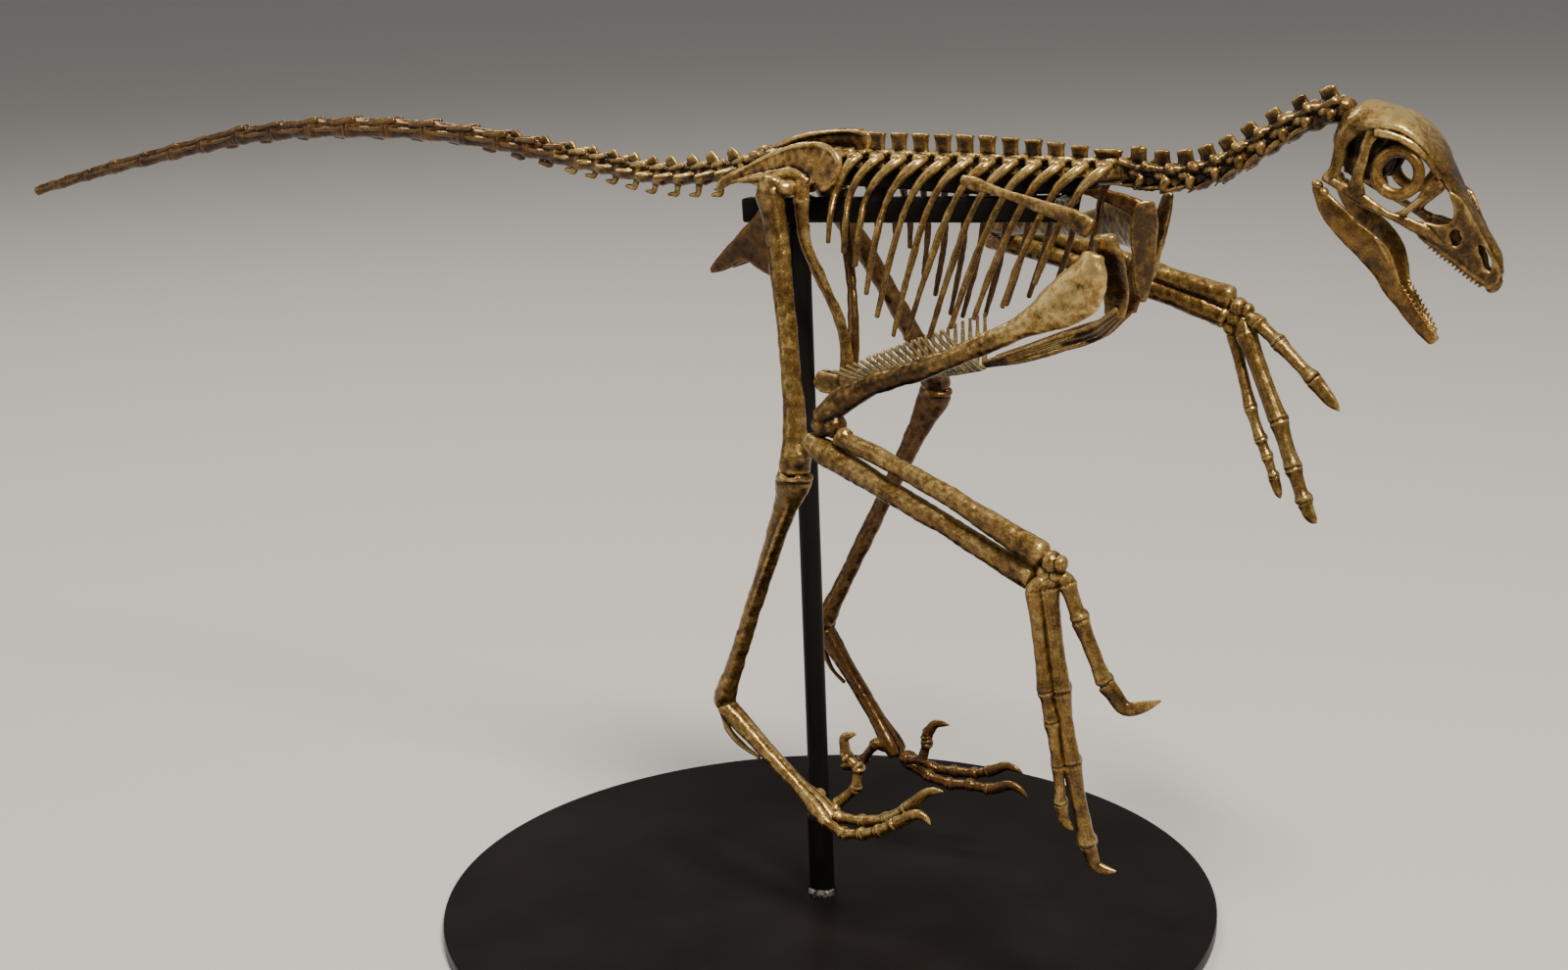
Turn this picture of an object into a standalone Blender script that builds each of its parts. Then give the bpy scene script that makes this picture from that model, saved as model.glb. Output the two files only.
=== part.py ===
"""Mounted skeleton of Archaeopteryx on its stand, life size, one still pose.

Lengths are in millimetres and are turned into metres where a mesh is made.
The origin is the centre of the base's underside, +X points to the head, +Y to
the animal's left and +Z up. RIGHT and LEFT are the signs of Y on each side.
"""
import math

import bmesh
import bpy
from mathutils import Matrix, Vector

MM = 0.001
RIGHT, LEFT = -1, 1
SIDE_NAME = {RIGHT: "right", LEFT: "left"}
SEAM = 0.15                # half the gap that parts two halves at the midline
NUDGE = 0.004              # keeps the faces of two joined pieces out of one plane
FLAT_ENOUGH = math.radians(5.0)  # faces that meet flatter than this become one

# ---- stand -----------------------------------------------------------------
BASE_RADIUS = 76.0         # a six inch disc
BASE_THICKNESS = 3.0
ROD_RADIUS = 1.95
ROD_SLEEVE_RADIUS = 2.35
ROD_SLEEVE_TOP = 19.4
ROD_FOOT_X = -1.4
ROD_TOP = (-3.2, 0.0, 136.2)
WELD_RADIUS = 3.6
STRIP_HALF_WIDTH = 2.2
BAR_HALF_WIDTH = 1.6

# ---- vertebral column --------------------------------------------------------
VERTEBRA_PITCH = 4.35
FIRST_RIB_X = 10.8
RIB_COUNT = 12
BELLY_RIB_COUNT = 17
SPINE_SETBACK = 1.6        # a spine stands this far behind its own rib
COLUMN_BOTTOM = 149.0
ARCH_TOP = 151.2
SPINE_TOP = 154.0
RIB_TIP_HEIGHTS = (134.9, 133.4, 131.3, 126.4, 122.5, 119.2, 118.8, 119.4, 121.6, 123.4, 125.8, 130.2)
RIB_SWEEPS = (2.6, 3.5, 5.2, 7.1, 9.2, 10.4, 12.3, 12.0, 12.1, 12.0, 11.0, 9.5)
RIB_TIPS_OUT = (9.6, 10.3, 10.9, 11.6, 11.8, 11.7, 11.7, 11.7, 11.8, 11.8, 11.7, 11.2)
NECK_PATH = ((61.3, 148.6), (66.6, 148.0), (72.0, 148.0), (77.0, 149.2), (82.0, 152.0),
             (87.0, 155.3), (92.0, 158.3), (98.0, 160.1))
TAIL_PATH = ((-14.2, 146.4), (-22.0, 144.9), (-34.0, 144.2), (-46.0, 145.8), (-58.0, 147.6),
             (-70.0, 149.4), (-85.0, 150.9), (-101.0, 151.2), (-116.0, 150.7), (-137.0, 148.7),
             (-161.0, 143.6), (-180.0, 139.4), (-201.0, 134.0))
CAUDAL_COUNT = 25
LAST_RIBBED_CERVICAL = 9
TAIL_BREAKS = (0, 9, 16, CAUDAL_COUNT)

# ---- joints of the limbs, right (near) and left side -------------------------
HIP_HALF_WIDTH = 9.5
HIP_X, HIP_Z = -1.5, 143.7
KNEE = {RIGHT: (5.9, -19.0, 94.6), LEFT: (10.8, 30.0, 101.0)}
ANKLE = {RIGHT: (-17.0, -10.0, 43.6), LEFT: (-13.4, 24.0, 49.8)}
FOOT = {RIGHT: (9.0, -14.4, 25.6), LEFT: (4.8, 22.0, 25.6)}
WRIST = {RIGHT: (61.4, -30.4, 86.3), LEFT: (65.4, 50.0, 115.7)}
HUMERUS_COURSE = {
    RIGHT: ((61.0, -13.5, 136.0), (60.4, -14.0, 133.2), (58.6, -14.2, 129.9), (55.1, -14.8, 127.2),
            (50.4, -15.6, 124.3), (41.0, -17.0, 119.6), (31.1, -18.4, 115.2), (22.4, -19.6, 112.0),
            (15.7, -20.8, 108.2), (12.6, -21.5, 105.2)),
    LEFT: ((60.4, 13.8, 136.2), (58.7, 15.4, 136.6), (55.2, 18.4, 137.0), (49.6, 22.8, 136.0),
           (41.9, 28.0, 134.5), (32.2, 34.8, 133.1), (25.0, 40.0, 132.0), (19.4, 44.2, 131.2),
           (16.4, 45.9, 131.3), (14.9, 47.0, 131.1)),
}
ULNA_COURSE = {
    RIGHT: ((10.2, -22.0, 101.5), (12.0, -22.2, 100.4), (20.6, -23.7, 97.0), (32.3, -25.6, 92.7),
            (53.6, -29.3, 84.7), (56.8, -30.0, 83.7)),
    LEFT: ((12.8, 49.0, 127.0), (15.4, 49.0, 126.8), (22.2, 49.1, 125.4), (38.2, 49.2, 120.9),
           (55.6, 49.8, 116.3), (61.8, 50.0, 114.2)),
}
RADIUS_COURSE = {
    RIGHT: ((16.9, -22.8, 102.5), (23.0, -24.0, 101.1), (33.5, -26.0, 98.2), (53.8, -29.6, 90.6),
            (58.7, -30.4, 88.5)),
    LEFT: ((19.6, 49.2, 130.6), (23.4, 49.2, 129.6), (39.6, 49.4, 125.6), (56.9, 49.9, 120.6),
           (62.8, 50.1, 118.9)),
}

# ---- skull frame -------------------------------------------------------------
SKULL_ORIGIN = (97.5, 0.0, 152.0)
SKULL_PITCH = math.radians(38.0)
SKULL_FRAME = Matrix.Translation(Vector(SKULL_ORIGIN)) @ Matrix.Rotation(SKULL_PITCH, 4, "Y")

BONE_COLOUR = (0.30, 0.21, 0.10, 1.0)
STAND_COLOUR = (0.012, 0.012, 0.014, 1.0)
MATERIALS = {}


# ---- scene and materials -----------------------------------------------------
def clear_scene():
    for old in list(bpy.data.objects):
        bpy.data.objects.remove(old, do_unlink=True)


def finish_material(name, colour, roughness, metallic):
    material = bpy.data.materials.new(name)
    material.use_nodes = True
    shader = material.node_tree.nodes["Principled BSDF"]
    shader.inputs["Base Color"].default_value = colour
    shader.inputs["Roughness"].default_value = roughness
    shader.inputs["Metallic"].default_value = metallic
    MATERIALS[name] = material


def make_materials():
    finish_material("bone", BONE_COLOUR, 0.42, 0.35)
    finish_material("black_paint", STAND_COLOUR, 0.35, 0.0)


# ---- small geometry helpers ----------------------------------------------------
def mix(a, b, t):
    return Vector(a).lerp(Vector(b), t)


def along(points, count):
    """Return count points spread evenly in length over a polyline."""
    points = [Vector(p) for p in points]
    lengths = [0.0]
    for a, b in zip(points, points[1:]):
        lengths.append(lengths[-1] + (b - a).length)
    result = []
    for k in range(count):
        target = lengths[-1] * k / (count - 1)
        i = max(j for j in range(len(points) - 1) if lengths[j] <= target + 1e-9)
        t = (target - lengths[i]) / (lengths[i + 1] - lengths[i])
        result.append(points[i].lerp(points[i + 1], t))
    return result


def midline(path):
    return [(x, 0.0, z) for x, z in path]


class Bone:
    """Collects closed pieces that overlap, and joins them into one solid."""

    def __init__(self, name, material="bone", frame=None):
        self.name = name
        self.material = material
        self.frame = frame or Matrix()
        self.pieces = []

    def keep(self, bm):
        n = len(self.pieces)
        nudge = Vector((math.sin(12.9 * n), math.sin(78.2 * n), math.sin(37.7 * n))) * NUDGE
        placing = Matrix.Scale(MM, 4) @ Matrix.Translation(nudge) @ self.frame
        bmesh.ops.transform(bm, matrix=placing, verts=bm.verts)
        bmesh.ops.recalc_face_normals(bm, faces=bm.faces)
        self.pieces.append(bm)

    def loft(self, path, sizes, sides=6, across=(0.0, 1.0, 0.0), level=False):
        """Sweep an ellipse along a path. sizes holds (half width, half height) or a radius.

        The rings stand square to the path, or square to the frame's X axis when level is set.
        """
        path = [Vector(p) for p in path]
        sizes = [s if isinstance(s, tuple) else (s, s) for s in sizes]
        bm = bmesh.new()
        rings = []
        for i, centre in enumerate(path):
            tangent = (path[min(i + 1, len(path) - 1)] - path[max(i - 1, 0)]).normalized()
            if level:
                tangent = Vector((1.0, 0.0, 0.0))
            width_way = Vector(across)
            width_way = (width_way - tangent * width_way.dot(tangent)).normalized()
            height_way = tangent.cross(width_way)
            ring = []
            for k in range(sides):
                angle = 2.0 * math.pi * (k + 0.5) / sides
                offset = width_way * sizes[i][0] * math.cos(angle) + height_way * sizes[i][1] * math.sin(angle)
                ring.append(bm.verts.new(centre + offset))
            rings.append(ring)
        for lower, upper in zip(rings, rings[1:]):
            for k in range(sides):
                n = (k + 1) % sides
                bm.faces.new((lower[k], lower[n], upper[n], upper[k]))
        bm.faces.new(rings[0])
        bm.faces.new(rings[-1])
        self.keep(bm)

    def box(self, low, high):
        centre = (Vector(low) + Vector(high)) / 2
        size = Vector(high) - Vector(low)
        bm = bmesh.new()
        bmesh.ops.create_cube(bm, size=1.0)
        bmesh.ops.transform(bm, matrix=Matrix.Translation(centre) @ Matrix.Diagonal((*size, 1.0)), verts=bm.verts)
        self.keep(bm)

    def ball(self, centre, radii, turns=8, rows=5):
        radii = radii if isinstance(radii, tuple) else (radii,) * 3
        bm = bmesh.new()
        bmesh.ops.create_uvsphere(bm, u_segments=turns, v_segments=rows, radius=1.0)
        bmesh.ops.transform(bm, matrix=Matrix.Translation(Vector(centre)) @ Matrix.Diagonal((*radii, 1.0)),
                            verts=bm.verts)
        self.keep(bm)

    def spike(self, root, tip, radius, sides=4):
        axis = Vector(tip) - Vector(root)
        bm = bmesh.new()
        bmesh.ops.create_cone(bm, cap_ends=True, segments=sides, radius1=radius, radius2=0.0, depth=axis.length)
        turn = axis.to_track_quat("Z", "Y").to_matrix().to_4x4()
        bmesh.ops.transform(bm, matrix=Matrix.Translation((Vector(root) + Vector(tip)) / 2) @ turn, verts=bm.verts)
        self.keep(bm)

    def plate(self, outline, thickness, place, holes=()):
        """Cut a flat plate from an outline in its own XY plane, and put it at place."""
        curve = bpy.data.curves.new(self.name + "_outline", "CURVE")
        curve.dimensions = "2D"
        curve.fill_mode = "BOTH"
        curve.extrude = thickness / 2
        for loop in (outline, *holes):
            spline = curve.splines.new("POLY")
            spline.points.add(len(loop) - 1)
            for point, (x, y) in zip(spline.points, loop):
                point.co = (x, y, 0.0, 1.0)
            spline.use_cyclic_u = True
        holder = bpy.data.objects.new(self.name + "_outline", curve)
        mesh = bpy.data.meshes.new_from_object(holder)
        bm = bmesh.new()
        bm.from_mesh(mesh)
        bmesh.ops.remove_doubles(bm, verts=bm.verts, dist=0.001)
        bmesh.ops.transform(bm, matrix=place, verts=bm.verts)
        bpy.data.objects.remove(holder, do_unlink=True)
        bpy.data.curves.remove(curve)
        bpy.data.meshes.remove(mesh)
        self.keep(bm)

    def finish(self):
        """Join the pieces and leave one object in the scene."""
        solid = as_object(self.name, self.pieces[0])
        if len(self.pieces) > 1:
            rest = bmesh.new()
            for bm in self.pieces[1:]:
                pieces_mesh = bpy.data.meshes.new("piece")
                bm.to_mesh(pieces_mesh)
                rest.from_mesh(pieces_mesh)
                bpy.data.meshes.remove(pieces_mesh)
            others = as_object(self.name + "_rest", rest)
            union(solid, others)
        solid.data.materials.clear()
        solid.data.materials.append(MATERIALS[self.material])
        return solid


def as_object(name, bm):
    mesh = bpy.data.meshes.new(name)
    bm.to_mesh(mesh)
    holder = bpy.data.objects.new(name, mesh)
    bpy.context.scene.collection.objects.link(holder)
    return holder


def union(solid, others):
    """Add the shells of others to solid, and remove the helper."""
    joined = solid.modifiers.new("join", "BOOLEAN")
    joined.operation = "UNION"
    joined.solver = "EXACT"
    joined.use_self = True
    joined.object = others
    graph = bpy.context.evaluated_depsgraph_get()
    mesh = bpy.data.meshes.new_from_object(solid.evaluated_get(graph))
    solid.modifiers.clear()
    solid.data = mesh
    bm = bmesh.new()
    bm.from_mesh(mesh)
    bmesh.ops.dissolve_limit(bm, angle_limit=FLAT_ENOUGH, verts=bm.verts, edges=bm.edges)
    bmesh.ops.triangulate(bm, faces=bm.faces, quad_method="BEAUTY", ngon_method="BEAUTY")
    bm.to_mesh(mesh)
    bpy.data.objects.remove(others, do_unlink=True)


def xz_place(y):
    """Stand a plate's XY plane up in XZ at distance y off the midline."""
    return Matrix.Translation((0.0, y, 0.0)) @ Matrix.Rotation(math.pi / 2, 4, "X")


# ---- stand -----------------------------------------------------------------
def build_base():
    base = Bone("stand_base", "black_paint")
    bm = bmesh.new()
    bmesh.ops.create_cone(bm, cap_ends=True, segments=48, radius1=BASE_RADIUS, radius2=BASE_RADIUS,
                          depth=BASE_THICKNESS)
    bmesh.ops.translate(bm, verts=bm.verts, vec=(0.0, 0.0, BASE_THICKNESS / 2))
    base.keep(bm)
    base.finish()


def build_rod():
    rod = Bone("stand_rod", "black_paint")
    foot = Vector((ROD_FOOT_X, 0.0, BASE_THICKNESS + 0.1))
    top = Vector(ROD_TOP)
    sleeve = mix(foot, top, (ROD_SLEEVE_TOP - foot.z) / (top.z - foot.z))
    weld_top = mix(foot, top, 0.015)
    path = (foot, weld_top, weld_top + Vector((0, 0, 0.05)), sleeve, sleeve + Vector((0, 0, 0.05)), top)
    radii = (WELD_RADIUS, ROD_SLEEVE_RADIUS + 0.3, ROD_SLEEVE_RADIUS, ROD_SLEEVE_RADIUS, ROD_RADIUS, ROD_RADIUS)
    rod.loft(path, radii, sides=12)
    rod.finish()


def build_bar():
    bar = Bone("stand_bar", "black_paint")
    half = BAR_HALF_WIDTH * math.sqrt(2)
    height = 2.2 * math.sqrt(2)
    path = ((-14.4, 0, 138.5), (14.0, 0, 139.8), (49.6, 0, 141.6))
    bar.loft(path, ((half, height),) * 3, sides=4)
    bar.box((12.5, -1.2, 139.9), (15.0, 1.2, 143.8))
    bar.box((49.0, -1.4, 140.9), (53.0, 1.4, 143.8))
    bar.finish()


def build_strip():
    strip = Bone("stand_spine_strip", "black_paint")
    half = STRIP_HALF_WIDTH * math.sqrt(2)
    root2 = math.sqrt(2)
    path = ((-13.8, 0, 145.5), (-6.0, 0, 146.0), (6.0, 0, 146.3), (45.0, 0, 146.3), (57.0, 0, 146.0),
            (59.8, 0, 144.6), (60.8, 0, 143.4))
    heights = (1.4, 2.0, 2.25, 2.25, 1.5, 1.2, 0.6)
    strip.loft(path, [(half, h * root2) for h in heights], sides=4)
    strip.finish()


# ---- trunk -------------------------------------------------------------------
def rib_top_x(i):
    return FIRST_RIB_X + VERTEBRA_PITCH * i


def spine_height(x):
    """Height of the spine tips, which sink a little toward the neck."""
    return SPINE_TOP - 0.0026 * max(0.0, x - 32.0) ** 2


def half_spine(bone, side, x, length, top):
    near, far = sorted((side * SEAM, side * 0.75))
    bone.box((x - length / 2, near, COLUMN_BOTTOM + 0.5), (x + length / 2, far, top))


def half_arch(bone, side, first_x, last_x):
    """The row of neural arches on one side, as one bar."""
    near, far = sorted((side * SEAM, side * 1.7))
    bone.box((first_x, near, COLUMN_BOTTOM), (last_x, far, ARCH_TOP))


def rib_path(side, i):
    """Points from the rib's two-headed root, out, down and back to its tip."""
    x, tip_z, tip_out = rib_top_x(i), RIB_TIP_HEIGHTS[i], RIB_TIPS_OUT[i]
    early = min(4.3, RIB_SWEEPS[i])
    late = RIB_SWEEPS[i] - early
    tuck = 0.9 if i == 0 else 0.0
    upper_z = 144.0
    return ((x - 0.4, side * 1.3, 150.0),
            (x - 0.3, side * (4.8 - 0.4 * tuck), 148.9),
            (x - early, side * (6.7 - tuck), upper_z),
            (x - early - 0.5 * late, side * (tip_out - 0.9), (upper_z + tip_z) / 2),
            (x - RIB_SWEEPS[i], side * tip_out, tip_z))


def build_thorax(side):
    thorax = Bone("thorax_" + SIDE_NAME[side])
    last_x = rib_top_x(RIB_COUNT - 1) + 1.6
    half_arch(thorax, side, FIRST_RIB_X - 0.9, last_x)
    for i in range(1, RIB_COUNT):
        x = rib_top_x(i) - SPINE_SETBACK
        wide = i == RIB_COUNT - 1
        half_spine(thorax, side, x + (0.9 if wide else 0.0), 5.0 if wide else 2.9, spine_height(x))
    for i in range(RIB_COUNT):
        radii = (0.9, 0.75, 0.68, 0.62, 0.48)
        thorax.loft(rib_path(side, i), radii, sides=4, across=(1.0, 0.0, 0.0))
    thorax.finish()


def build_sacrum():
    sacrum = Bone("sacrum")
    sacrum.loft(((-13.6, 0, 148.2), (-6.0, 0, 149.7), (2.0, 0, 150.1), (9.0, 0, 150.2)),
                ((2.0, 1.1), (2.5, 1.2), (2.5, 1.1), (2.3, 1.1)))
    outline = ((-12.9, 148.0), (9.1, 149.9), (9.1, 154.0), (2.0, 153.9), (-4.0, 152.4), (-12.4, 149.4))
    sacrum.plate(outline, 2.4, xz_place(0.0))
    for k in range(5):
        x = -9.6 + 4.25 * k
        sacrum.box((x - 0.8, -4.6, 148.7 + 0.1 * k), (x + 0.8, 4.6, 150.1 + 0.1 * k))
    sacrum.finish()


# ---- neck and tail -------------------------------------------------------------
def build_neck(name, first, last, first_number):
    neck = Bone(name)
    joints = along(midline(NECK_PATH), 10)[first:last + 1]
    path, sizes = [], []
    for a, b in zip(joints, joints[1:]):
        for t, size in ((0.0, (2.0, 1.9)), (0.5, (1.45, 1.4))):
            path.append(a.lerp(b, t))
            sizes.append(size)
    path.append(joints[-1] - (joints[-1] - joints[-2]) * 0.06)
    path[0] = joints[0] + (joints[1] - joints[0]) * 0.06
    sizes.append((1.5, 1.2))
    neck.loft(path, sizes)
    for number, (a, b) in enumerate(zip(joints, joints[1:]), first_number):
        add_cervical(neck, a, b, number, 2.8 if number == first_number else 6.6)
    neck.finish()


def add_cervical(neck, a, b, number, rib_length):
    """Spine, articular shelf and the long thin ribs of one neck vertebra."""
    forward = (b - a).normalized()
    upward = Vector((-forward.z, 0.0, forward.x))
    middle = a.lerp(b, 0.4 + 0.04 * number)
    rise = min(4.5, 3.5 + 0.3 * number)
    neck.loft((middle + upward * 0.8, middle + upward * rise - forward * 0.4),
              ((1.0, 2.0), (0.75, 1.5)), sides=4)
    neck.loft((a + forward * 0.4 + upward * 1.5, b - forward * 0.4 + upward * 1.6),
              ((3.3, 0.9), (2.9, 0.75)), sides=4)
    if number < LAST_RIBBED_CERVICAL:
        for side in (RIGHT, LEFT):
            out = Vector((0.0, side, 0.0))
            root = b - forward * 1.2 + out * 1.2 - upward * 1.0
            tip = root - forward * rib_length + out * 1.0 - upward * 1.5
            neck.loft((root, tip), (0.6, 0.35), sides=3)


def caudal_length(k):
    """Short vertebrae at the tail's root, long ones in the middle, shorter ones at the end."""
    grow = min(1.0, max(0.0, (k - 7) / 6.0))
    shrink = max(0.0, (k - 18) / 7.0)
    return 4.6 + 5.4 * grow - 2.4 * shrink


def tail_joints():
    lengths = [caudal_length(k) for k in range(CAUDAL_COUNT)]
    fine = along(midline(TAIL_PATH), 401)
    total = sum(lengths)
    joints, reached = [fine[0]], 0.0
    for length in lengths:
        reached += length
        joints.append(fine[round(400 * reached / total)])
    return joints


def caudal_radius(k):
    """The centra keep their girth to past the middle of the tail, and then thin out."""
    return 2.1 - 1.0 * max(0.0, (k - 15) / (CAUDAL_COUNT - 15)) ** 1.2


def build_tail(name, first, last):
    tail = Bone(name)
    joints = tail_joints()
    path, sizes = [], []
    for k in range(first, last):
        r = caudal_radius(k)
        a, b = joints[k], joints[k + 1]
        for t, factor in ((0.0, 1.1), (0.5, 0.8)):
            path.append(a.lerp(b, t))
            sizes.append((r * factor, r * factor * 1.15))
    end = 1.0 if last == CAUDAL_COUNT else 0.97
    path.append(joints[last - 1].lerp(joints[last], end))
    sizes.append((caudal_radius(last), caudal_radius(last)))
    tail.loft(path, sizes)
    for k in range(first, last):
        add_caudal_processes(tail, k, joints[k], joints[k + 1])
    tail.finish()


def add_caudal_processes(tail, k, a, b):
    """Spine above, wings at the sides and chevron below, all shrinking along the tail."""
    back = (b - a).normalized()
    upward = Vector((back.z, 0.0, -back.x))
    middle = a.lerp(b, 0.45)
    r = caudal_radius(k)
    if k < 11:
        rise = 2.0 + r - 0.13 * k
        tail.loft((middle + upward * 0.6, middle + upward * rise + back * 0.5), ((0.6, 1.6), (0.45, 1.1)), sides=4)
    if k < 9:
        reach = Vector((0.0, 4.4 - 0.28 * k, 0.0))
        tail.loft((middle + back * 1.3 - reach, middle, middle + back * 1.3 + reach),
                  ((0.6, 0.5), (1.1, 0.7), (0.6, 0.5)), sides=4, across=back)
    if 0 < k < 19:
        drop = (3.4 - 0.2 * k) if k < 12 else 1.0
        heel = a - upward * (r * 0.5) + back * 0.9
        toe = heel - upward * drop + back * 0.8
        foot = toe + back * (2.2 if k < 9 else 3.4) - upward * 0.2
        tail.loft((heel, toe, foot), ((0.6, 0.8), (0.65, 0.8), (0.5, 0.5)), sides=3)


# ---- skull and jaw -------------------------------------------------------------
def build_skull():
    skull = Bone("skull", frame=SKULL_FRAME)
    # each row of the roof: X, the underside and the top on the midline, half width
    roof = ((-2.9, 5.6, 8.6, 3.2), (-2.0, 3.8, 10.3, 5.6), (0.2, 4.2, 11.9, 6.7), (2.6, 6.2, 12.8, 7.1),
            (5.2, 9.6, 13.6, 7.1), (8.6, 10.9, 13.5, 6.6), (12.1, 10.3, 12.7, 5.8), (15.0, 8.7, 11.4, 4.9),
            (18.1, 7.9, 9.9, 3.9), (22.4, 6.4, 8.2, 3.1), (26.8, 5.1, 6.9, 2.4), (30.1, 3.8, 5.6, 1.7),
            (32.4, 2.4, 3.6, 1.1))
    skull.loft([(x, 0.0, (low + top) / 2) for x, low, top, w in roof],
               [(w, (top - low) / 2) for x, low, top, w in roof], sides=8, level=True)
    skull.loft(((-1.9, 0, 5.6), (-0.9, 0, 3.2), (0.8, 0, 1.6)), ((3.2, 1.6), (3.5, 1.7), (2.4, 1.3)))
    skull.loft(((-1.0, 0, 6.4), (4.6, 0, 7.2)), ((3.9, 4.6), (3.6, 3.4)), sides=6, level=True)
    skull.ball((-2.9, 0, 7.0), 0.9, turns=5, rows=3)
    for side in (RIGHT, LEFT):
        add_skull_side(skull, side)
    skull.ball((32.2, 0, 1.3), (1.7, 1.35, 2.1), turns=7, rows=4)
    skull.finish()


def add_skull_side(skull, side):
    """Bars round the openings, the snout's wall with its holes, and the upper teeth."""
    def bar(path, sizes):
        skull.loft([(x, side * y, z) for x, y, z in path], sizes, sides=4)

    bar(((0.0, 5.7, 7.5), (0.1, 5.8, 4.2), (1.9, 5.9, 1.0), (2.1, 6.0, -1.8)),
        ((0.8, 1.5), (0.8, 1.1), (0.8, 1.1), (1.0, 1.0)))
    bar(((1.5, 6.1, -1.8), (7.0, 6.5, -0.6), (12.4, 6.0, 0.2), (15.6, 5.2, 0.9), (20.0, 3.9, 1.2)),
        ((0.6, 0.6), (0.7, 1.0), (0.7, 0.8), (0.7, 0.9), (0.6, 0.8)))
    bar(((2.9, 6.2, 9.4), (4.9, 6.7, 3.8), (7.0, 6.6, -0.2)), ((0.65, 1.2), (0.6, 0.95), (0.65, 1.1)))
    bar(((15.9, 4.5, 9.9), (15.4, 4.9, 5.4), (14.9, 5.1, 0.9)), ((0.7, 0.95), (0.6, 0.75), (0.6, 0.9)))
    snout = ((18.2, -0.1), (30.0, 0.5), (32.6, 0.2), (33.2, 1.6), (32.4, 3.4), (29.8, 5.0), (24.0, 7.2),
             (18.6, 9.0), (20.7, 7.2), (21.7, 4.6), (21.0, 3.3), (17.2, 1.8))
    naris = ((26.6, 4.6), (27.4, 4.8), (31.0, 3.1), (30.9, 2.2), (30.2, 2.3))
    fenestra = ((23.3, 3.1), (23.6, 4.5), (24.5, 4.3), (24.8, 3.0), (24.1, 2.4))
    start = Matrix.Translation((17.4, side * 4.3, 0.0)) @ Matrix.Rotation(-side * math.radians(12.5), 4, "Z")
    place = start @ Matrix.Translation((-17.4, 0.0, 0.0)) @ Matrix.Rotation(math.pi / 2, 4, "X")
    skull.plate(snout, 0.9, place, holes=(naris, fenestra))
    for k in range(10):
        x = 19.2 + 1.25 * k
        y = side * (3.95 - 0.222 * (x - 19.0))
        z = 0.3 + 0.03 * (x - 19.0)
        skull.spike((x, y, z), (x + 0.15, y, z - 1.0), 0.38, sides=3)


def build_mandible():
    mandible = Bone("mandible", frame=SKULL_FRAME)
    # each row: X and Z of the bar's middle, its distance off the midline, half height
    profile = ((1.5, -3.9, 6.0, 0.8), (3.7, -4.7, 6.0, 1.4), (9.6, -5.9, 5.7, 2.2), (14.0, -6.4, 4.8, 2.4),
               (16.8, -7.1, 4.0, 2.3), (20.6, -9.2, 2.8, 1.7), (26.7, -11.1, 1.4, 1.3), (31.5, -12.2, 0.6, 0.7))
    for side in (RIGHT, LEFT):
        path = [(x, side * y, z) for x, z, y, h in profile]
        mandible.loft(path, [(0.75, h) for x, z, y, h in profile])
        mandible.box(*ordered((0.5, side * 5.1, -4.7), (2.8, side * 6.8, -3.5)))
        for k in range(8):
            x = 20.8 + 1.15 * k
            y = side * (2.9 - 0.23 * (x - 20.6))
            z = -7.9 - 0.33 * (x - 20.6)
            mandible.spike((x, y, z - 0.6), (x + 0.4, y, z + 0.7), 0.4, sides=3)
    mandible.finish()


def ordered(a, b):
    return tuple(map(min, a, b)), tuple(map(max, a, b))


def build_eye_ring(side):
    ring = Bone("eye_ring_" + SIDE_NAME[side], frame=SKULL_FRAME)
    turns, sides = 12, 5
    bm = bmesh.new()
    centre = Vector((10.0, side * 5.5, 6.2))
    loops = []
    for i in range(turns):
        angle = 2 * math.pi * i / turns
        spoke = Vector((math.cos(angle), 0.0, math.sin(angle)))
        loop = []
        for k in range(sides):
            around = 2 * math.pi * k / sides
            point = centre + spoke * (3.4 + 0.95 * math.cos(around)) + Vector((0, side * 0.8 * math.sin(around), 0))
            loop.append(bm.verts.new(point))
        loops.append(loop)
    for i in range(turns):
        for k in range(sides):
            j, n = (i + 1) % turns, (k + 1) % sides
            bm.faces.new((loops[i][k], loops[i][n], loops[j][n], loops[j][k]))
    ring.keep(bm)
    ring.finish()


# ---- girdles -------------------------------------------------------------------
def build_ilium(side):
    ilium = Bone("ilium_" + SIDE_NAME[side])
    outline = ((-17.2, 142.9), (-12.3, 144.2), (-9.2, 144.3), (-6.4, 143.2), (-5.6, 141.2), (-3.8, 141.4),
               (-3.0, 144.2), (-1.4, 145.4), (0.0, 144.4), (0.3, 141.7), (2.9, 141.9), (3.3, 144.8), (4.4, 145.0),
               (5.4, 143.5), (7.4, 144.2), (9.1, 147.2), (8.8, 150.0), (5.6, 152.3), (1.3, 152.4), (-5.9, 150.2),
               (-10.5, 147.8), (-16.8, 143.8))
    lean = side * math.radians(14.0)
    pivot = Vector((0.0, side * 7.2, 143.0))
    tilt = Matrix.Translation(pivot) @ Matrix.Rotation(lean, 4, "X") @ Matrix.Translation(-pivot)
    ilium.plate(outline, 0.9, tilt @ xz_place(side * 7.2))
    ilium.finish()


def build_ischium(side):
    ischium = Bone("ischium_" + SIDE_NAME[side])
    outline = ((-6.2, 140.9), (-8.6, 138.6), (-11.1, 136.4), (-20.5, 126.2), (-16.0, 127.6), (-12.0, 129.4),
               (-8.8, 127.2), (-6.0, 126.0), (-6.2, 131.0), (-4.6, 136.0), (-3.8, 140.9))
    pivot = Vector((0.0, side * 7.0, 141.0))
    lean = Matrix.Translation(pivot) @ Matrix.Rotation(-side * math.radians(13.0), 4, "X")
    ischium.plate(outline, 1.0, lean @ Matrix.Translation(-pivot) @ xz_place(side * 7.0))
    ischium.finish()


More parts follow.
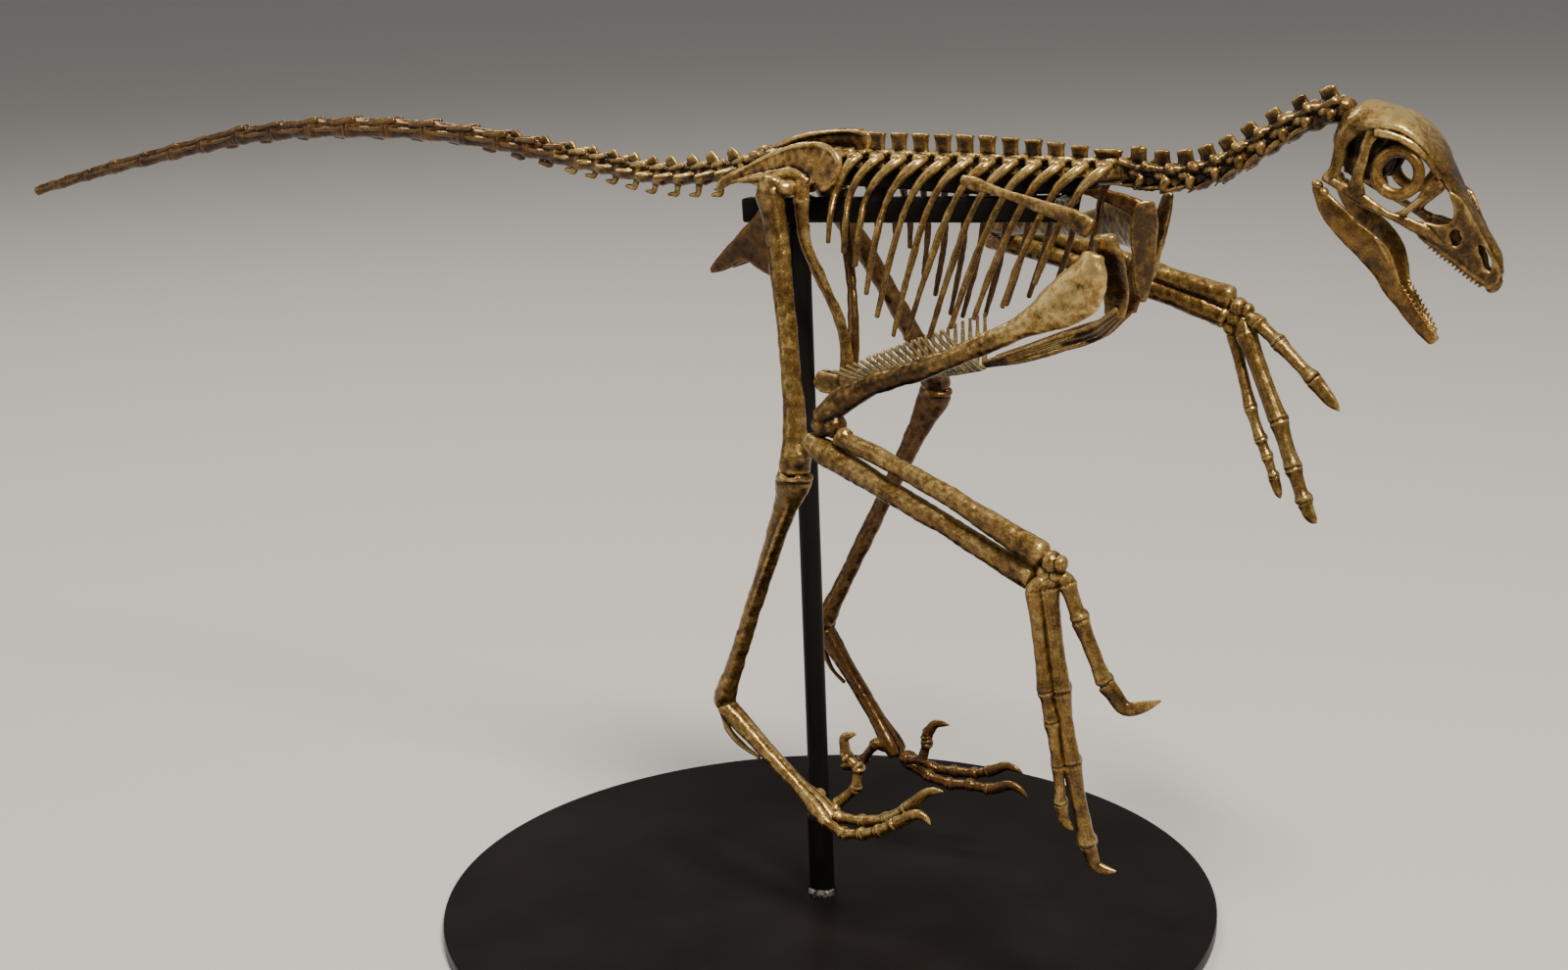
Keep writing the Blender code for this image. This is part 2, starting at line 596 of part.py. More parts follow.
def build_pubis(side):
    pubis = Bone("pubis_" + SIDE_NAME[side])
    shaft = ((1.6, 7.3, 141.2), (2.4, 7.9, 134.6), (4.2, 6.3, 127.2), (5.8, 4.1, 119.2), (6.6, 1.6, 111.5),
             (6.4, 1.05, 107.2))
    pubis.loft([(x, side * y, z) for x, y, z in shaft],
               ((1.0, 1.6), (0.85, 1.15), (0.8, 1.1), (0.8, 1.1), (0.8, 1.15), (0.8, 1.5)))
    boot = ((-0.6, 107.0), (0.4, 105.4), (4.5, 104.9), (7.4, 106.2), (7.6, 109.4), (4.6, 108.8), (-0.2, 108.8))
    pubis.plate(boot, 1.2, xz_place(side * 0.85))
    pubis.finish()


def build_scapula(side):
    scapula = Bone("scapula_" + SIDE_NAME[side])
    path = ((34.4, 9.0, 147.0), (35.6, 9.2, 146.9), (41.0, 9.9, 145.6), (47.0, 10.5, 144.1), (53.5, 11.0, 142.4),
            (57.5, 11.3, 141.0), (59.4, 11.5, 140.2))
    sizes = ((0.5, 0.9), (0.7, 1.3), (0.6, 1.1), (0.6, 1.25), (0.6, 1.5), (0.75, 1.9), (0.9, 1.9))
    scapula.loft([(x, side * y, z) for x, y, z in path], sizes)
    scapula.finish()


def build_coracoid(side):
    coracoid = Bone("coracoid_" + SIDE_NAME[side])
    path = ((62.0, 11.4, 139.0), (62.2, 10.9, 137.0), (62.3, 8.9, 134.2), (61.6, 5.6, 130.2), (60.8, 3.2, 126.0))
    sizes = ((2.2, 0.8), (2.5, 0.9), (2.6, 0.75), (2.6, 0.7), (2.3, 0.7))
    coracoid.loft([(x, side * y, z) for x, y, z in path], sizes,
                  across=(1.0, 0.0, 0.0))
    coracoid.finish()


def build_furcula():
    """Two thin blades that stand up from a short keel, each facing forward and outward."""
    furcula = Bone("furcula")
    blade = ((64.6, 0.2, 127.4), (65.1, 1.3, 130.6), (65.7, 2.8, 135.4), (66.4, 4.6, 141.0), (66.8, 5.4, 143.4))
    half_widths = (1.1, 1.9, 2.3, 2.5, 2.3)
    for side in (RIGHT, LEFT):
        path = [(x, side * y, z) for x, y, z in blade]
        furcula.loft(path, [(w, 0.5) for w in half_widths], sides=6, across=(0.75, side * -0.66, 0.0))
    furcula.loft(((64.6, 0, 128.6), (64.5, 0, 126.2)), (1.0, 0.7))
    furcula.finish()


def build_sternum(side):
    """One half of the breastbone, which rises outward from the midline like half a trough."""
    sternum = Bone("sternal_plate_" + SIDE_NAME[side])
    path = ((61.0, 3.2, 123.8), (57.5, 3.4, 120.8), (51.0, 3.6, 118.4), (42.0, 3.4, 115.2), (35.6, 2.4, 113.4))
    sizes = ((1.6, 0.5), (2.4, 0.5), (2.5, 0.5), (1.9, 0.5), (0.9, 0.45))
    sternum.loft([(x, side * y, z) for x, y, z in path], sizes, sides=6, across=(0.0, side * 0.78, 0.62))
    sternum.finish()


def build_gastralia(side):
    """The comb of thin belly ribs, joined along the midline."""
    gastralia = Bone("gastralia_" + SIDE_NAME[side])
    keel = ((9.2, 108.5), (20.0, 109.6), (29.0, 111.0), (34.4, 112.2))
    gastralia.loft([(x, side * 0.9, z) for x, z in keel], (0.55, 0.55, 0.55, 0.5), sides=4)
    for k in range(BELLY_RIB_COUNT):
        t = k / (BELLY_RIB_COUNT - 1)
        x = 10.0 + 24.0 * t
        z = 108.6 + 3.5 * t
        tip = (x - 2.6 - 1.0 * t, side * (7.0 + 2.0 * t), z + 2.2 + 6.0 * t)
        gastralia.loft(((x, side * 0.9, z), tip), (0.5, 0.38), sides=3, across=(1, 0, 0))
    gastralia.finish()


# ---- limbs ---------------------------------------------------------------------
def build_femur(side):
    femur = Bone("femur_" + SIDE_NAME[side])
    hip = Vector((HIP_X, side * HIP_HALF_WIDTH, HIP_Z))
    knee = Vector(KNEE[side])
    down = (knee - hip).normalized()
    bow = Vector((-1.6, 0.0, 0.0))
    path = [hip + Vector((-1.4, side * 0.6, 2.6)), hip + Vector((-1.8, side * 0.8, 0.4)), mix(hip, knee, 0.1) + bow,
            mix(hip, knee, 0.35) + bow * 0.5, mix(hip, knee, 0.7), knee - down * 5.2, knee - down * 2.4,
            knee - down * 0.9]
    sizes = ((1.2, 1.7), (1.9, 2.6), (2.0, 2.5), (2.1, 2.2), (2.0, 2.1), (2.3, 2.6), (2.8, 3.0), (2.3, 2.2))
    femur.loft(path, sizes)
    femur.finish()


def build_tibia(side):
    tibia = Bone("tibia_" + SIDE_NAME[side])
    knee, ankle = Vector(KNEE[side]), Vector(ANKLE[side])
    down = (ankle - knee).normalized()
    top = knee + down * 1.7
    front = Vector((1.0, 0.0, 0.35)).normalized()
    path = [top, top + down * 1.6, top + down * 6.0, mix(knee, ankle, 0.3), mix(knee, ankle, 0.65),
            ankle - down * 4.9, ankle - down * 1.4]
    sizes = ((2.6, 3.5), (2.7, 3.5), (1.9, 2.3), (1.6, 1.75), (1.45, 1.55), (1.9, 1.8), (2.2, 2.1))
    tibia.loft(path, sizes)
    outside = Vector((0.0, side * 1.5, 0.0))
    tibia.loft([top + down * 0.8 + outside + front * 2.4, top + down * 5.0 + outside + front * 1.6,
                mix(knee, ankle, 0.32) + outside + front * 0.5, mix(knee, ankle, 0.62) + outside * 0.8],
               (1.0, 0.7, 0.5, 0.35), sides=5)
    tibia.finish()


def build_metatarsus(side):
    bone = Bone("metatarsus_" + SIDE_NAME[side])
    ankle, foot = Vector(ANKLE[side]), Vector(FOOT[side])
    down = (foot - ankle).normalized()
    top = ankle + down * 1.9
    path = [top, top + down * 2.5, mix(ankle, foot, 0.4), mix(ankle, foot, 0.75), foot - down * 2.2, foot]
    bone.loft(path, ((2.1, 1.9), (1.9, 1.6), (1.7, 1.35), (1.9, 1.3), (2.6, 1.4), (2.7, 1.1)))
    behind = Vector((down.z, 0.0, -down.x))
    splint = [top + behind * 0.8 + Vector((0, side * 0.8, 0)), mix(ankle, foot, 0.2) + behind * 2.5,
              mix(ankle, foot, 0.36) + behind * 3.0]
    bone.loft(splint, (0.8, 0.55, 0.35), sides=5)
    bone.finish()


def build_digit(name, joints, radii, claw_radius):
    """A chain of spool-shaped phalanges that ends in a tapering claw."""
    digit = Bone(name)
    joints = [Vector(j) for j in joints]
    path, sizes = [], []
    for a, b, r in zip(joints[:-3], joints[1:-2], radii):
        path += [a, a.lerp(b, 0.5)]
        sizes += [r, r * WAIST]
    root, bend, tip = joints[-3:]
    path += [root, root.lerp(bend, 0.25), bend, tip]
    sizes += [radii[len(joints) - 4] * 0.95, claw_radius * 0.85, claw_radius * 0.7, 0.12]
    digit.loft(path, sizes, sides=5)
    digit.finish()


TOES = {
    (RIGHT, "2"): ((8.6, -11.4, 27.6), (12.4, -10.8, 31.2), (12.9, -10.5, 35.4), (10.2, -10.5, 37.2),
                   (10.0, -10.5, 40.4), (12.6, -10.5, 42.1)),
    (RIGHT, "3"): ((10.4, -14.5, 26.4), (15.4, -14.0, 26.2), (20.3, -13.6, 27.5), (24.4, -13.4, 30.2),
                   (28.0, -13.0, 33.4), (31.6, -12.5, 34.6)),
    (RIGHT, "4"): ((9.2, -17.6, 26.6), (13.6, -18.2, 25.0), (17.6, -18.6, 25.8), (21.4, -19.0, 27.3),
                   (25.0, -19.3, 29.6), (29.4, -19.5, 32.0), (32.3, -19.5, 30.7)),
    (RIGHT, "1"): ((4.2, -11.2, 28.4), (3.2, -9.2, 27.4), (2.4, -7.2, 26.4), (2.2, -5.9, 25.0)),
    (LEFT, "1"): ((1.4, 18.4, 28.4), (-1.6, 18.0, 24.4), (-4.4, 18.0, 22.8), (-6.6, 18.0, 22.4)),
    (LEFT, "2"): ((8.2, 18.6, 26.2), (12.0, 18.0, 26.6), (13.2, 18.0, 30.6), (13.0, 18.0, 32.4),
                  (14.8, 18.0, 34.6), (18.2, 18.0, 35.2)),
    (LEFT, "3"): ((6.9, 22.0, 23.8), (11.6, 22.0, 21.8), (16.2, 22.0, 20.9), (20.8, 22.0, 21.6),
                  (24.8, 22.0, 21.3), (29.3, 22.0, 22.8), (33.1, 22.0, 21.1)),
    (LEFT, "4"): ((5.4, 25.4, 23.9), (10.2, 26.2, 21.9), (14.8, 27.0, 21.6), (19.4, 27.0, 22.0),
                  (22.6, 27.0, 23.0), (26.0, 27.0, 24.6), (30.0, 27.0, 23.8)),
}
TOE_RADIUS = 1.15
WAIST = 0.8                # a phalanx is this much slimmer at its middle than at its joints

FINGERS = {
    (RIGHT, "1"): ((63.0, -29.3, 83.5), (65.4, -29.3, 77.3), (69.9, -29.0, 66.8), (73.0, -28.6, 63.2),
                   (79.5, -28.0, 64.8)),
    (RIGHT, "2"): ((59.9, -30.3, 82.8), (62.4, -30.4, 64.6), (64.5, -30.4, 52.0), (67.3, -29.8, 37.6),
                   (68.5, -29.5, 34.2), (72.3, -29.2, 33.3)),
    (RIGHT, "3"): ((58.2, -32.2, 82.4), (60.5, -32.4, 64.9), (61.6, -32.3, 59.6), (62.7, -32.0, 51.8),
                   (63.2, -31.8, 45.0), (63.7, -31.6, 42.2), (65.3, -31.2, 40.4)),
    (LEFT, "1"): ((68.9, 48.6, 114.4), (73.5, 47.6, 111.0), (80.8, 46.0, 104.9), (83.2, 45.7, 102.4),
                  (86.4, 45.0, 99.4)),
    (LEFT, "2"): ((66.4, 49.3, 112.2), (74.6, 45.5, 96.3), (78.3, 43.6, 87.9), (81.0, 42.3, 82.0),
                  (82.3, 41.8, 79.8), (83.8, 41.6, 78.3)),
    (LEFT, "3"): ((63.4, 50.9, 111.2), (68.4, 47.4, 98.0), (71.0, 46.0, 92.3), (72.6, 45.3, 89.2),
                  (74.2, 44.6, 85.6), (75.0, 44.3, 83.5), (75.9, 44.0, 81.6)),
}
TOE_CLAW_RADIUS = 0.95
THUMB_CLAW_RADIUS = 1.45
FINGER_CLAW_RADIUS = 1.15
FINGER_RADII = {"1": (1.35, 1.25), "2": (1.75, 1.5, 1.4), "3": (1.1, 1.1, 1.0, 0.9)}


def build_humerus(side):
    """A shaft whose upper quarter widens into the crest, from chest to back."""
    humerus = Bone("humerus_" + SIDE_NAME[side])
    sizes = ((1.3, 2.2), (1.7, 3.5), (1.8, 4.5), (1.9, 3.9), (1.8, 2.2), (1.75, 1.8), (1.75, 1.8), (1.8, 2.0),
             (2.4, 2.5), (2.0, 1.9))
    humerus.loft(HUMERUS_COURSE[side], sizes)
    humerus.finish()


def build_forearm(side):
    ulna = Bone("ulna_" + SIDE_NAME[side])
    ulna.loft(ULNA_COURSE[side], (1.4, (2.1, 2.1), (2.1, 2.1), (1.9, 2.0), (2.0, 2.0), (1.8, 1.9)))
    ulna.finish()
    radius = Bone("radius_" + SIDE_NAME[side])
    radius.loft(RADIUS_COURSE[side], (1.5, 1.6, 1.6, (1.9, 2.0), (1.9, 2.0)))
    radius.finish()


def build_wrist(side):
    carpus = Bone("wrist_" + SIDE_NAME[side])
    carpus.ball(WRIST[side], (1.3, 1.9, 1.9), turns=8, rows=5)
    carpus.finish()


def build_limbs(side):
    build_scapula(side)
    build_coracoid(side)
    build_humerus(side)
    build_forearm(side)
    build_wrist(side)
    for (finger_side, number), joints in FINGERS.items():
        if finger_side == side:
            claw = THUMB_CLAW_RADIUS if number == "1" else FINGER_CLAW_RADIUS
            build_digit("finger_%s_%s" % (number, SIDE_NAME[side]), joints, FINGER_RADII[number], claw)
    build_ilium(side)
    build_ischium(side)
    build_pubis(side)
    build_femur(side)
    build_tibia(side)
    build_metatarsus(side)
    for (toe_side, number), joints in TOES.items():
        if toe_side == side:
            build_digit("toe_%s_%s" % (number, SIDE_NAME[side]), joints, (TOE_RADIUS,) * 6, TOE_CLAW_RADIUS)


def main():
    clear_scene()
    make_materials()
    build_base()
    build_rod()
    build_bar()
    build_strip()
    build_sacrum()
    build_neck("neck_base", 0, 5, 1)
    build_neck("neck_front", 5, 9, 6)
    for name, first, last in zip(("tail_base", "tail_middle", "tail_tip"), TAIL_BREAKS, TAIL_BREAKS[1:]):
        build_tail(name, first, last)
    build_skull()
    build_mandible()
    build_furcula()
    for side in (RIGHT, LEFT):
        build_thorax(side)
        build_eye_ring(side)
        build_sternum(side)
        build_gastralia(side)
        build_limbs(side)


main()
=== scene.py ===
"""Looks of the mounted Archaeopteryx skeleton: each bone rebuilt in full, its patina, light and camera.

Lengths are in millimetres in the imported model's frame, and turn into metres when a mesh is made.
RIGHT and LEFT are the signs of Y: the right side faces the camera.
"""

import math

import bmesh
import bpy
import numpy as np
from mathutils import Matrix, Vector

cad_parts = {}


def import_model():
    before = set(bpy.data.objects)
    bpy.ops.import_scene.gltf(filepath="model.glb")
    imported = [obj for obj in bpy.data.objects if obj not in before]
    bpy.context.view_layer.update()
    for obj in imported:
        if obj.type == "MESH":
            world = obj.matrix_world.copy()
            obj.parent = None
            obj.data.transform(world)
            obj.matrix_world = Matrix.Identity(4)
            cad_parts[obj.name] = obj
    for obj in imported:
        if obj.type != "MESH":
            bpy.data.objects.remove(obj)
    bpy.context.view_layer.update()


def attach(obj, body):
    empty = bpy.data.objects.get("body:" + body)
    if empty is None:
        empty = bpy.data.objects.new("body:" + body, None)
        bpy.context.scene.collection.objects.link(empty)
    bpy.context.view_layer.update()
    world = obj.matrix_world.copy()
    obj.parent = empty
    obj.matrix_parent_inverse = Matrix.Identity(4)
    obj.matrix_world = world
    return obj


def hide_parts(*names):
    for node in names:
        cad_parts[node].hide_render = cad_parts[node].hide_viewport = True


MM = 0.001
RIGHT, LEFT = -1, 1
SIDE_NAME = {RIGHT: "right", LEFT: "left"}
SIDE_SHADE = {RIGHT: "plain", LEFT: "rust_and_shade"}     # the far side's bones take the browner, darker copy as painted shade
ALONG_X, ALONG_Z = (1.0, 0.0, 0.0), (0.0, 0.0, 1.0)

# ---- relief of the skins ----
SWELL = 0.35                # share of a voxel given back after the softening shrinks a skin
KEPT_TRIANGLES = 0.6        # share of a skin's triangles that stays after they are merged
TOP_PAINTED_LIGHT = 0.23             # painted light: how much paler a face that looks straight up is painted, and how much darker one that looks down
LUMP_SEED = 7
LUMP_WAVES = (0.9, 1.3, 1.9, 2.7, 3.6, 4.6)     # radians per millimetre
FINE_ROUNDS, BROAD_ROUNDS = 8, 50               # averaging that fine and broad relief are measured against
FINE_RELIEF, BROAD_RELIEF = 0.25, 1.9           # voxels of height that count as fully proud
MOST_PROUD = 1.5

# ---- colours, linear, and the patina ----
DARK, BROWN = (0.010, 0.0045, 0.0012), (0.060, 0.029, 0.0070)
GOLD, CREAM = (0.215, 0.120, 0.027), (0.56, 0.39, 0.14)
# each shade of bone: the three steps above DARK, the tint of its patches, how much lighter it is
BONE_SHADES = {
    "plain": (BROWN, GOLD, CREAM, (0.060, 0.044, 0.011), 0.0),
    # the next shade is browner and darker: the own tone of the tail and the ischium, and painted shade on
    # the far side's bones
    "rust_and_shade": ((0.055, 0.023, 0.006), (0.14, 0.068, 0.017), GOLD, (0.085, 0.030, 0.007), -0.05),
    "ochre": ((0.078, 0.038, 0.008), (0.22, 0.115, 0.022), CREAM, (0.19, 0.090, 0.014), -0.01),
    "grey": ((0.075, 0.062, 0.036), (0.21, 0.185, 0.115), CREAM, (0.15, 0.125, 0.065), 0.04),
}
PATCH_SCALE, MOTTLE_SCALE, SPECK_SCALE = 190.0, 700.0, 2600.0      # cells of noise per metre
# how far each of these moves the colour between DARK at 0 and the palest step at 1
PROUD_SHARE, PATCH_SHARE, MOTTLE_SHARE, SPECK_SHARE = 0.20, 0.75, 0.62, 0.55
MIDDLE_LEVEL = 0.43
TINT_STRENGTH = 2.2
HOLLOW_DEPTH, HOLLOW_SHADE = 0.12, 0.35
BONE_METALLIC, BONE_SPECULAR = 0.62, 0.55
BONE_ROUGHNESS = (0.45, 0.03)                   # share of the mottle, and the smoothest
PAINT_BLACK, PAINT_DUSTY = (0.009, 0.0072, 0.0065), (0.014, 0.0115, 0.0105)
PAINT_WORN = (0.07, 0.065, 0.06)
WELD_SCALE, WELD_BRIGHT = (0.03, 0.028, 0.026), (0.42, 0.40, 0.36)

# ---- stand ----
BASE_RADIUS = 76.0
BASE_THICKNESS = 3.0
ROD_RADIUS = 1.95
ROD_SLEEVE_RADIUS = 2.35
ROD_SLEEVE_TOP = 19.4
ROD_FOOT_X = -1.4
ROD_TOP = (-3.2, 0.0, 136.2)

# ---- vertebral column ----
VERTEBRA_PITCH = 4.35
FIRST_RIB_X = 10.8
RIB_COUNT = 12
BELLY_RIB_COUNT = 17
SPINE_SETBACK = 1.6
ARCH_HEIGHT = 150.2
SPINE_TOP = 154.0
RIB_TIP_HEIGHTS = (134.9, 133.4, 131.3, 126.4, 122.5, 119.2, 118.8, 119.4, 121.6, 123.4, 125.8, 130.2)
RIB_SWEEPS = (2.6, 3.5, 5.2, 7.1, 9.2, 10.4, 12.3, 12.0, 12.1, 12.0, 11.0, 9.5)
RIB_TIPS_OUT = (9.6, 10.3, 10.9, 11.6, 11.8, 11.7, 11.7, 11.7, 11.8, 11.8, 11.7, 11.2)
RIB_SIZES = ((0.95, 0.8), (0.9, 0.75), (0.72, 0.66), (0.62, 0.6), (0.58, 0.56), (0.45, 0.42))
NECK_PATH = ((61.3, 148.6), (66.6, 148.0), (72.0, 148.0), (77.0, 149.2), (82.0, 152.0),
             (87.0, 155.3), (92.0, 158.3), (98.0, 160.1))
NECK_COUNT = 9
TAIL_PATH = ((-14.2, 146.4), (-22.0, 144.9), (-34.0, 144.2), (-46.0, 145.8), (-58.0, 147.6),
             (-70.0, 149.4), (-85.0, 150.9), (-101.0, 151.2), (-116.0, 150.7), (-137.0, 148.7),
             (-161.0, 143.6), (-180.0, 139.4), (-200.7, 134.1))
CAUDAL_COUNT = 25
TAIL_BREAKS = {"tail_base": (0, 9), "tail_middle": (9, 16), "tail_tip": (16, CAUDAL_COUNT)}
LAST_WING, LAST_SPINE, LAST_CHEVRON = 9, 11, 19     # from these vertebrae on the tail goes without

# ---- joints of the limbs ----
HIP_HALF_WIDTH = 9.5
HIP_X, HIP_Z = -1.5, 143.7
KNEE = {RIGHT: (5.9, -19.0, 94.6), LEFT: (10.8, 30.0, 101.0)}
ANKLE = {RIGHT: (-17.0, -10.0, 43.6), LEFT: (-13.4, 24.0, 49.8)}
FOOT = {RIGHT: (9.0, -14.4, 25.6), LEFT: (4.8, 22.0, 25.6)}
WRIST = {RIGHT: (61.4, -30.4, 86.3), LEFT: (65.4, 50.0, 115.7)}
HUMERUS_COURSE = {
    RIGHT: ((61.0, -13.5, 136.0), (60.4, -14.0, 133.2), (58.6, -14.2, 129.9), (55.1, -14.8, 127.2),
            (50.4, -15.6, 124.3), (41.0, -17.0, 119.6), (31.1, -18.4, 115.2), (22.4, -19.6, 112.0),
            (15.7, -20.8, 108.2), (12.6, -21.5, 105.2)),
    LEFT: ((60.4, 13.8, 136.2), (58.7, 15.4, 136.6), (55.2, 18.4, 137.0), (49.6, 22.8, 136.0),
           (41.9, 28.0, 134.5), (32.2, 34.8, 133.1), (25.0, 40.0, 132.0), (19.4, 44.2, 131.2),
           (16.4, 45.9, 131.3), (14.9, 47.0, 131.1)),
}
ULNA_COURSE = {
    RIGHT: ((10.2, -22.0, 101.5), (12.0, -22.2, 100.4), (20.6, -23.7, 97.0), (32.3, -25.6, 92.7),
            (53.6, -29.3, 84.7), (56.8, -30.0, 83.7)),
    LEFT: ((12.8, 49.0, 127.0), (15.4, 49.0, 126.8), (22.2, 49.1, 125.4), (38.2, 49.2, 120.9),
           (55.6, 49.8, 116.3), (61.8, 50.0, 114.2)),
}
RADIUS_COURSE = {
    RIGHT: ((16.9, -22.8, 102.5), (23.0, -24.0, 101.1), (33.5, -26.0, 98.2), (53.8, -29.6, 90.6),
            (58.7, -30.4, 88.5)),
    LEFT: ((19.6, 49.2, 130.6), (23.4, 49.2, 129.6), (39.6, 49.4, 125.6), (56.9, 49.9, 120.6),
           (62.8, 50.1, 118.9)),
}
TOES = {
    (RIGHT, "2"): ((8.6, -11.4, 27.6), (12.4, -10.8, 31.2), (12.9, -10.5, 35.4), (10.2, -10.5, 37.2),
                   (10.0, -10.5, 40.4), (12.6, -10.5, 42.1)),
    (RIGHT, "3"): ((10.4, -14.5, 26.4), (15.4, -14.0, 26.2), (20.3, -13.6, 27.5), (24.4, -13.4, 30.2),
                   (28.0, -13.0, 33.4), (31.6, -12.5, 34.6)),
    (RIGHT, "4"): ((9.2, -17.6, 26.6), (13.6, -18.2, 25.0), (17.6, -18.6, 25.8), (21.4, -19.0, 27.3),
                   (25.0, -19.3, 29.6), (29.4, -19.5, 32.0), (32.3, -19.5, 30.7)),
    (RIGHT, "1"): ((4.2, -11.2, 28.4), (3.2, -9.2, 27.4), (2.4, -7.2, 26.4), (2.2, -5.9, 25.0)),
    (LEFT, "1"): ((1.4, 18.4, 28.4), (-1.6, 18.0, 24.4), (-4.4, 18.0, 22.8), (-6.6, 18.0, 22.4)),
    (LEFT, "2"): ((8.2, 18.6, 26.2), (12.0, 18.0, 26.6), (13.2, 18.0, 30.6), (13.0, 18.0, 32.4),
                  (14.8, 18.0, 34.6), (18.2, 18.0, 35.2)),
    (LEFT, "3"): ((6.9, 22.0, 23.8), (11.6, 22.0, 21.8), (16.2, 22.0, 20.9), (20.8, 22.0, 21.6),
                  (24.8, 22.0, 21.3), (29.3, 22.0, 22.8), (33.1, 22.0, 21.1)),
    (LEFT, "4"): ((5.4, 25.4, 23.9), (10.2, 26.2, 21.9), (14.8, 27.0, 21.6), (19.4, 27.0, 22.0),
                  (22.6, 27.0, 23.0), (26.0, 27.0, 24.6), (30.0, 27.0, 23.8)),
}
FINGERS = {
    (RIGHT, "1"): ((63.0, -29.3, 83.5), (65.4, -29.3, 77.3), (69.9, -29.0, 66.8), (73.0, -28.6, 63.2),
                   (79.5, -28.0, 64.8)),
    (RIGHT, "2"): ((59.9, -30.3, 82.8), (62.4, -30.4, 64.6), (64.5, -30.4, 52.0), (67.3, -29.8, 37.6),
                   (68.5, -29.5, 34.2), (72.3, -29.2, 33.3)),
    (RIGHT, "3"): ((58.2, -32.2, 82.4), (60.5, -32.4, 64.9), (61.6, -32.3, 59.6), (62.7, -32.0, 51.8),
                   (63.2, -31.8, 45.0), (63.7, -31.6, 42.2), (65.3, -31.2, 40.4)),
    (LEFT, "1"): ((68.9, 48.6, 114.4), (73.5, 47.6, 111.0), (80.8, 46.0, 104.9), (83.2, 45.7, 102.4),
                  (86.4, 45.0, 99.4)),
    (LEFT, "2"): ((66.4, 49.3, 112.2), (74.6, 45.5, 96.3), (78.3, 43.6, 87.9), (81.0, 42.3, 82.0),
                  (82.3, 41.8, 79.8), (83.8, 41.6, 78.3)),
    (LEFT, "3"): ((63.4, 50.9, 111.2), (68.4, 47.4, 98.0), (71.0, 46.0, 92.3), (72.6, 45.3, 89.2),
                  (74.2, 44.6, 85.6), (75.0, 44.3, 83.5), (75.9, 44.0, 81.6)),
}
TOE_RADIUS = 1.15
FINGER_RADII = {"1": (1.55, 1.5), "2": (1.95, 1.75, 1.6), "3": (1.25, 1.25, 1.15, 1.05)}
CLAW_RADIUS = {"toe": 1.05, "1": 1.5, "2": 1.3, "3": 1.05}
CLAW_TAPER = ((0.9, 1.15), (0.75, 1.05), (0.62, 0.88), (0.42, 0.58))     # shares of a claw's radius
CLAW_TIP = (0.12, 0.14)
# each knob of the elbow: its shift from the humerus's last point, and its radius
ELBOW_KNOBS = (((0.5, 0.0, -0.8), 2.35), ((2.6, 0.0, -1.0), 2.2))
# the two forearm bones lie closer together than their courses by these heights, point by point
ULNA_RISES = {RIGHT: (0.0, 0.0, 0.0, 0.1, 0.3, 0.3), LEFT: (0.0, 0.3, 0.6, 0.8, 0.7, 0.6)}
RADIUS_RISES = (0.0, -0.1, -0.3, -0.5, -0.3)
# each wrist bone: its place across the wrist, how far back up the arm, and its radius
CARPALS = ((-2.9, 1.6, 1.6), (-1.0, 1.2, 2.0), (1.0, 1.0, 2.0), (-1.6, -0.6, 1.5), (0.6, -0.9, 1.5))

# ---- skull frame: X along the snout, Z up through the roof ----
SKULL_ORIGIN = (97.5, 0.0, 152.0)
SKULL_PITCH = math.radians(38.0)
SKULL_FRAME = Matrix.Translation(Vector(SKULL_ORIGIN)) @ Matrix.Rotation(SKULL_PITCH, 4, "Y")
UPPER_TEETH, LOWER_TEETH = 14, 13
TOOTH_SIZES = (0.33, 0.25, 0.09)

# ---- camera, found from the base's ellipse and the rod in the photo ----
CAMERA_PLACE = (210.3, -377.8, 198.7)
CAMERA_YAW = math.radians(30.0)
CAMERA_DOWN = math.radians(14.5)
CAMERA_ROLL = math.radians(-1.49)
CAMERA_LENS = 54.0

# ---- floor and light, in metres ----
FLOOR_RADIUS = 6.0
FLOOR_COLOUR = (0.60, 0.59, 0.57, 1.0)
STUDIO_COLOUR, STUDIO_STRENGTH = (0.66, 0.64, 0.62, 1.0), 0.33
LIT_PLACE = (0.02, 0.0, 0.12)
# each light: place, size, power in watts, colour
LIGHTS = {
    "key": ((0.50, -0.38, 1.05), 0.3, 19.0, (1.0, 0.92, 0.80)),
    "fill": ((-0.9, -0.8, 0.6), 0.9, 2.6, (0.95, 0.95, 1.0)),
    "back": ((-0.55, 0.35, 1.0), 0.5, 6.0, (1.0, 0.95, 0.88)),
}


# ---- modelling helpers ----
def smooth_rows(rows, steps):
    """Carry rows of numbers, the first three a place, along a curve through all of them."""
    rows = np.asarray(rows, float)
    gaps = np.maximum(np.linalg.norm(np.diff(rows[:, :3], axis=0), axis=1), 1e-6)
    slopes = np.diff(rows, axis=0) / gaps[:, None]
    tangents = np.empty_like(rows)
    tangents[0], tangents[-1] = slopes[0], slopes[-1]
    share = (gaps[1:] / (gaps[:-1] + gaps[1:]))[:, None]
    tangents[1:-1] = slopes[:-1] * share + slopes[1:] * (1.0 - share)
    result = []
    for i, gap in enumerate(gaps):
        for t in np.arange(steps) / steps:
            start, end = 2 * t ** 3 - 3 * t ** 2 + 1, 3 * t ** 2 - 2 * t ** 3
            leave, arrive = (t ** 3 - 2 * t ** 2 + t) * gap, (t ** 3 - t ** 2) * gap
            between = start * rows[i] + end * rows[i + 1]
            result.append(between + leave * tangents[i] + arrive * tangents[i + 1])
    result.append(rows[-1])
    return np.array(result)


def unit_ball(turns=14, rows=9):
    bm = bmesh.new()
    bmesh.ops.create_uvsphere(bm, u_segments=turns, v_segments=rows, radius=1.0)
    verts = np.array([v.co[:] for v in bm.verts])
    faces = [[v.index for v in f.verts] for f in bm.faces]
    bm.free()
    return verts, faces


BALL = unit_ball()


def mix(a, b, t):
    return Vector(a).lerp(Vector(b), t)


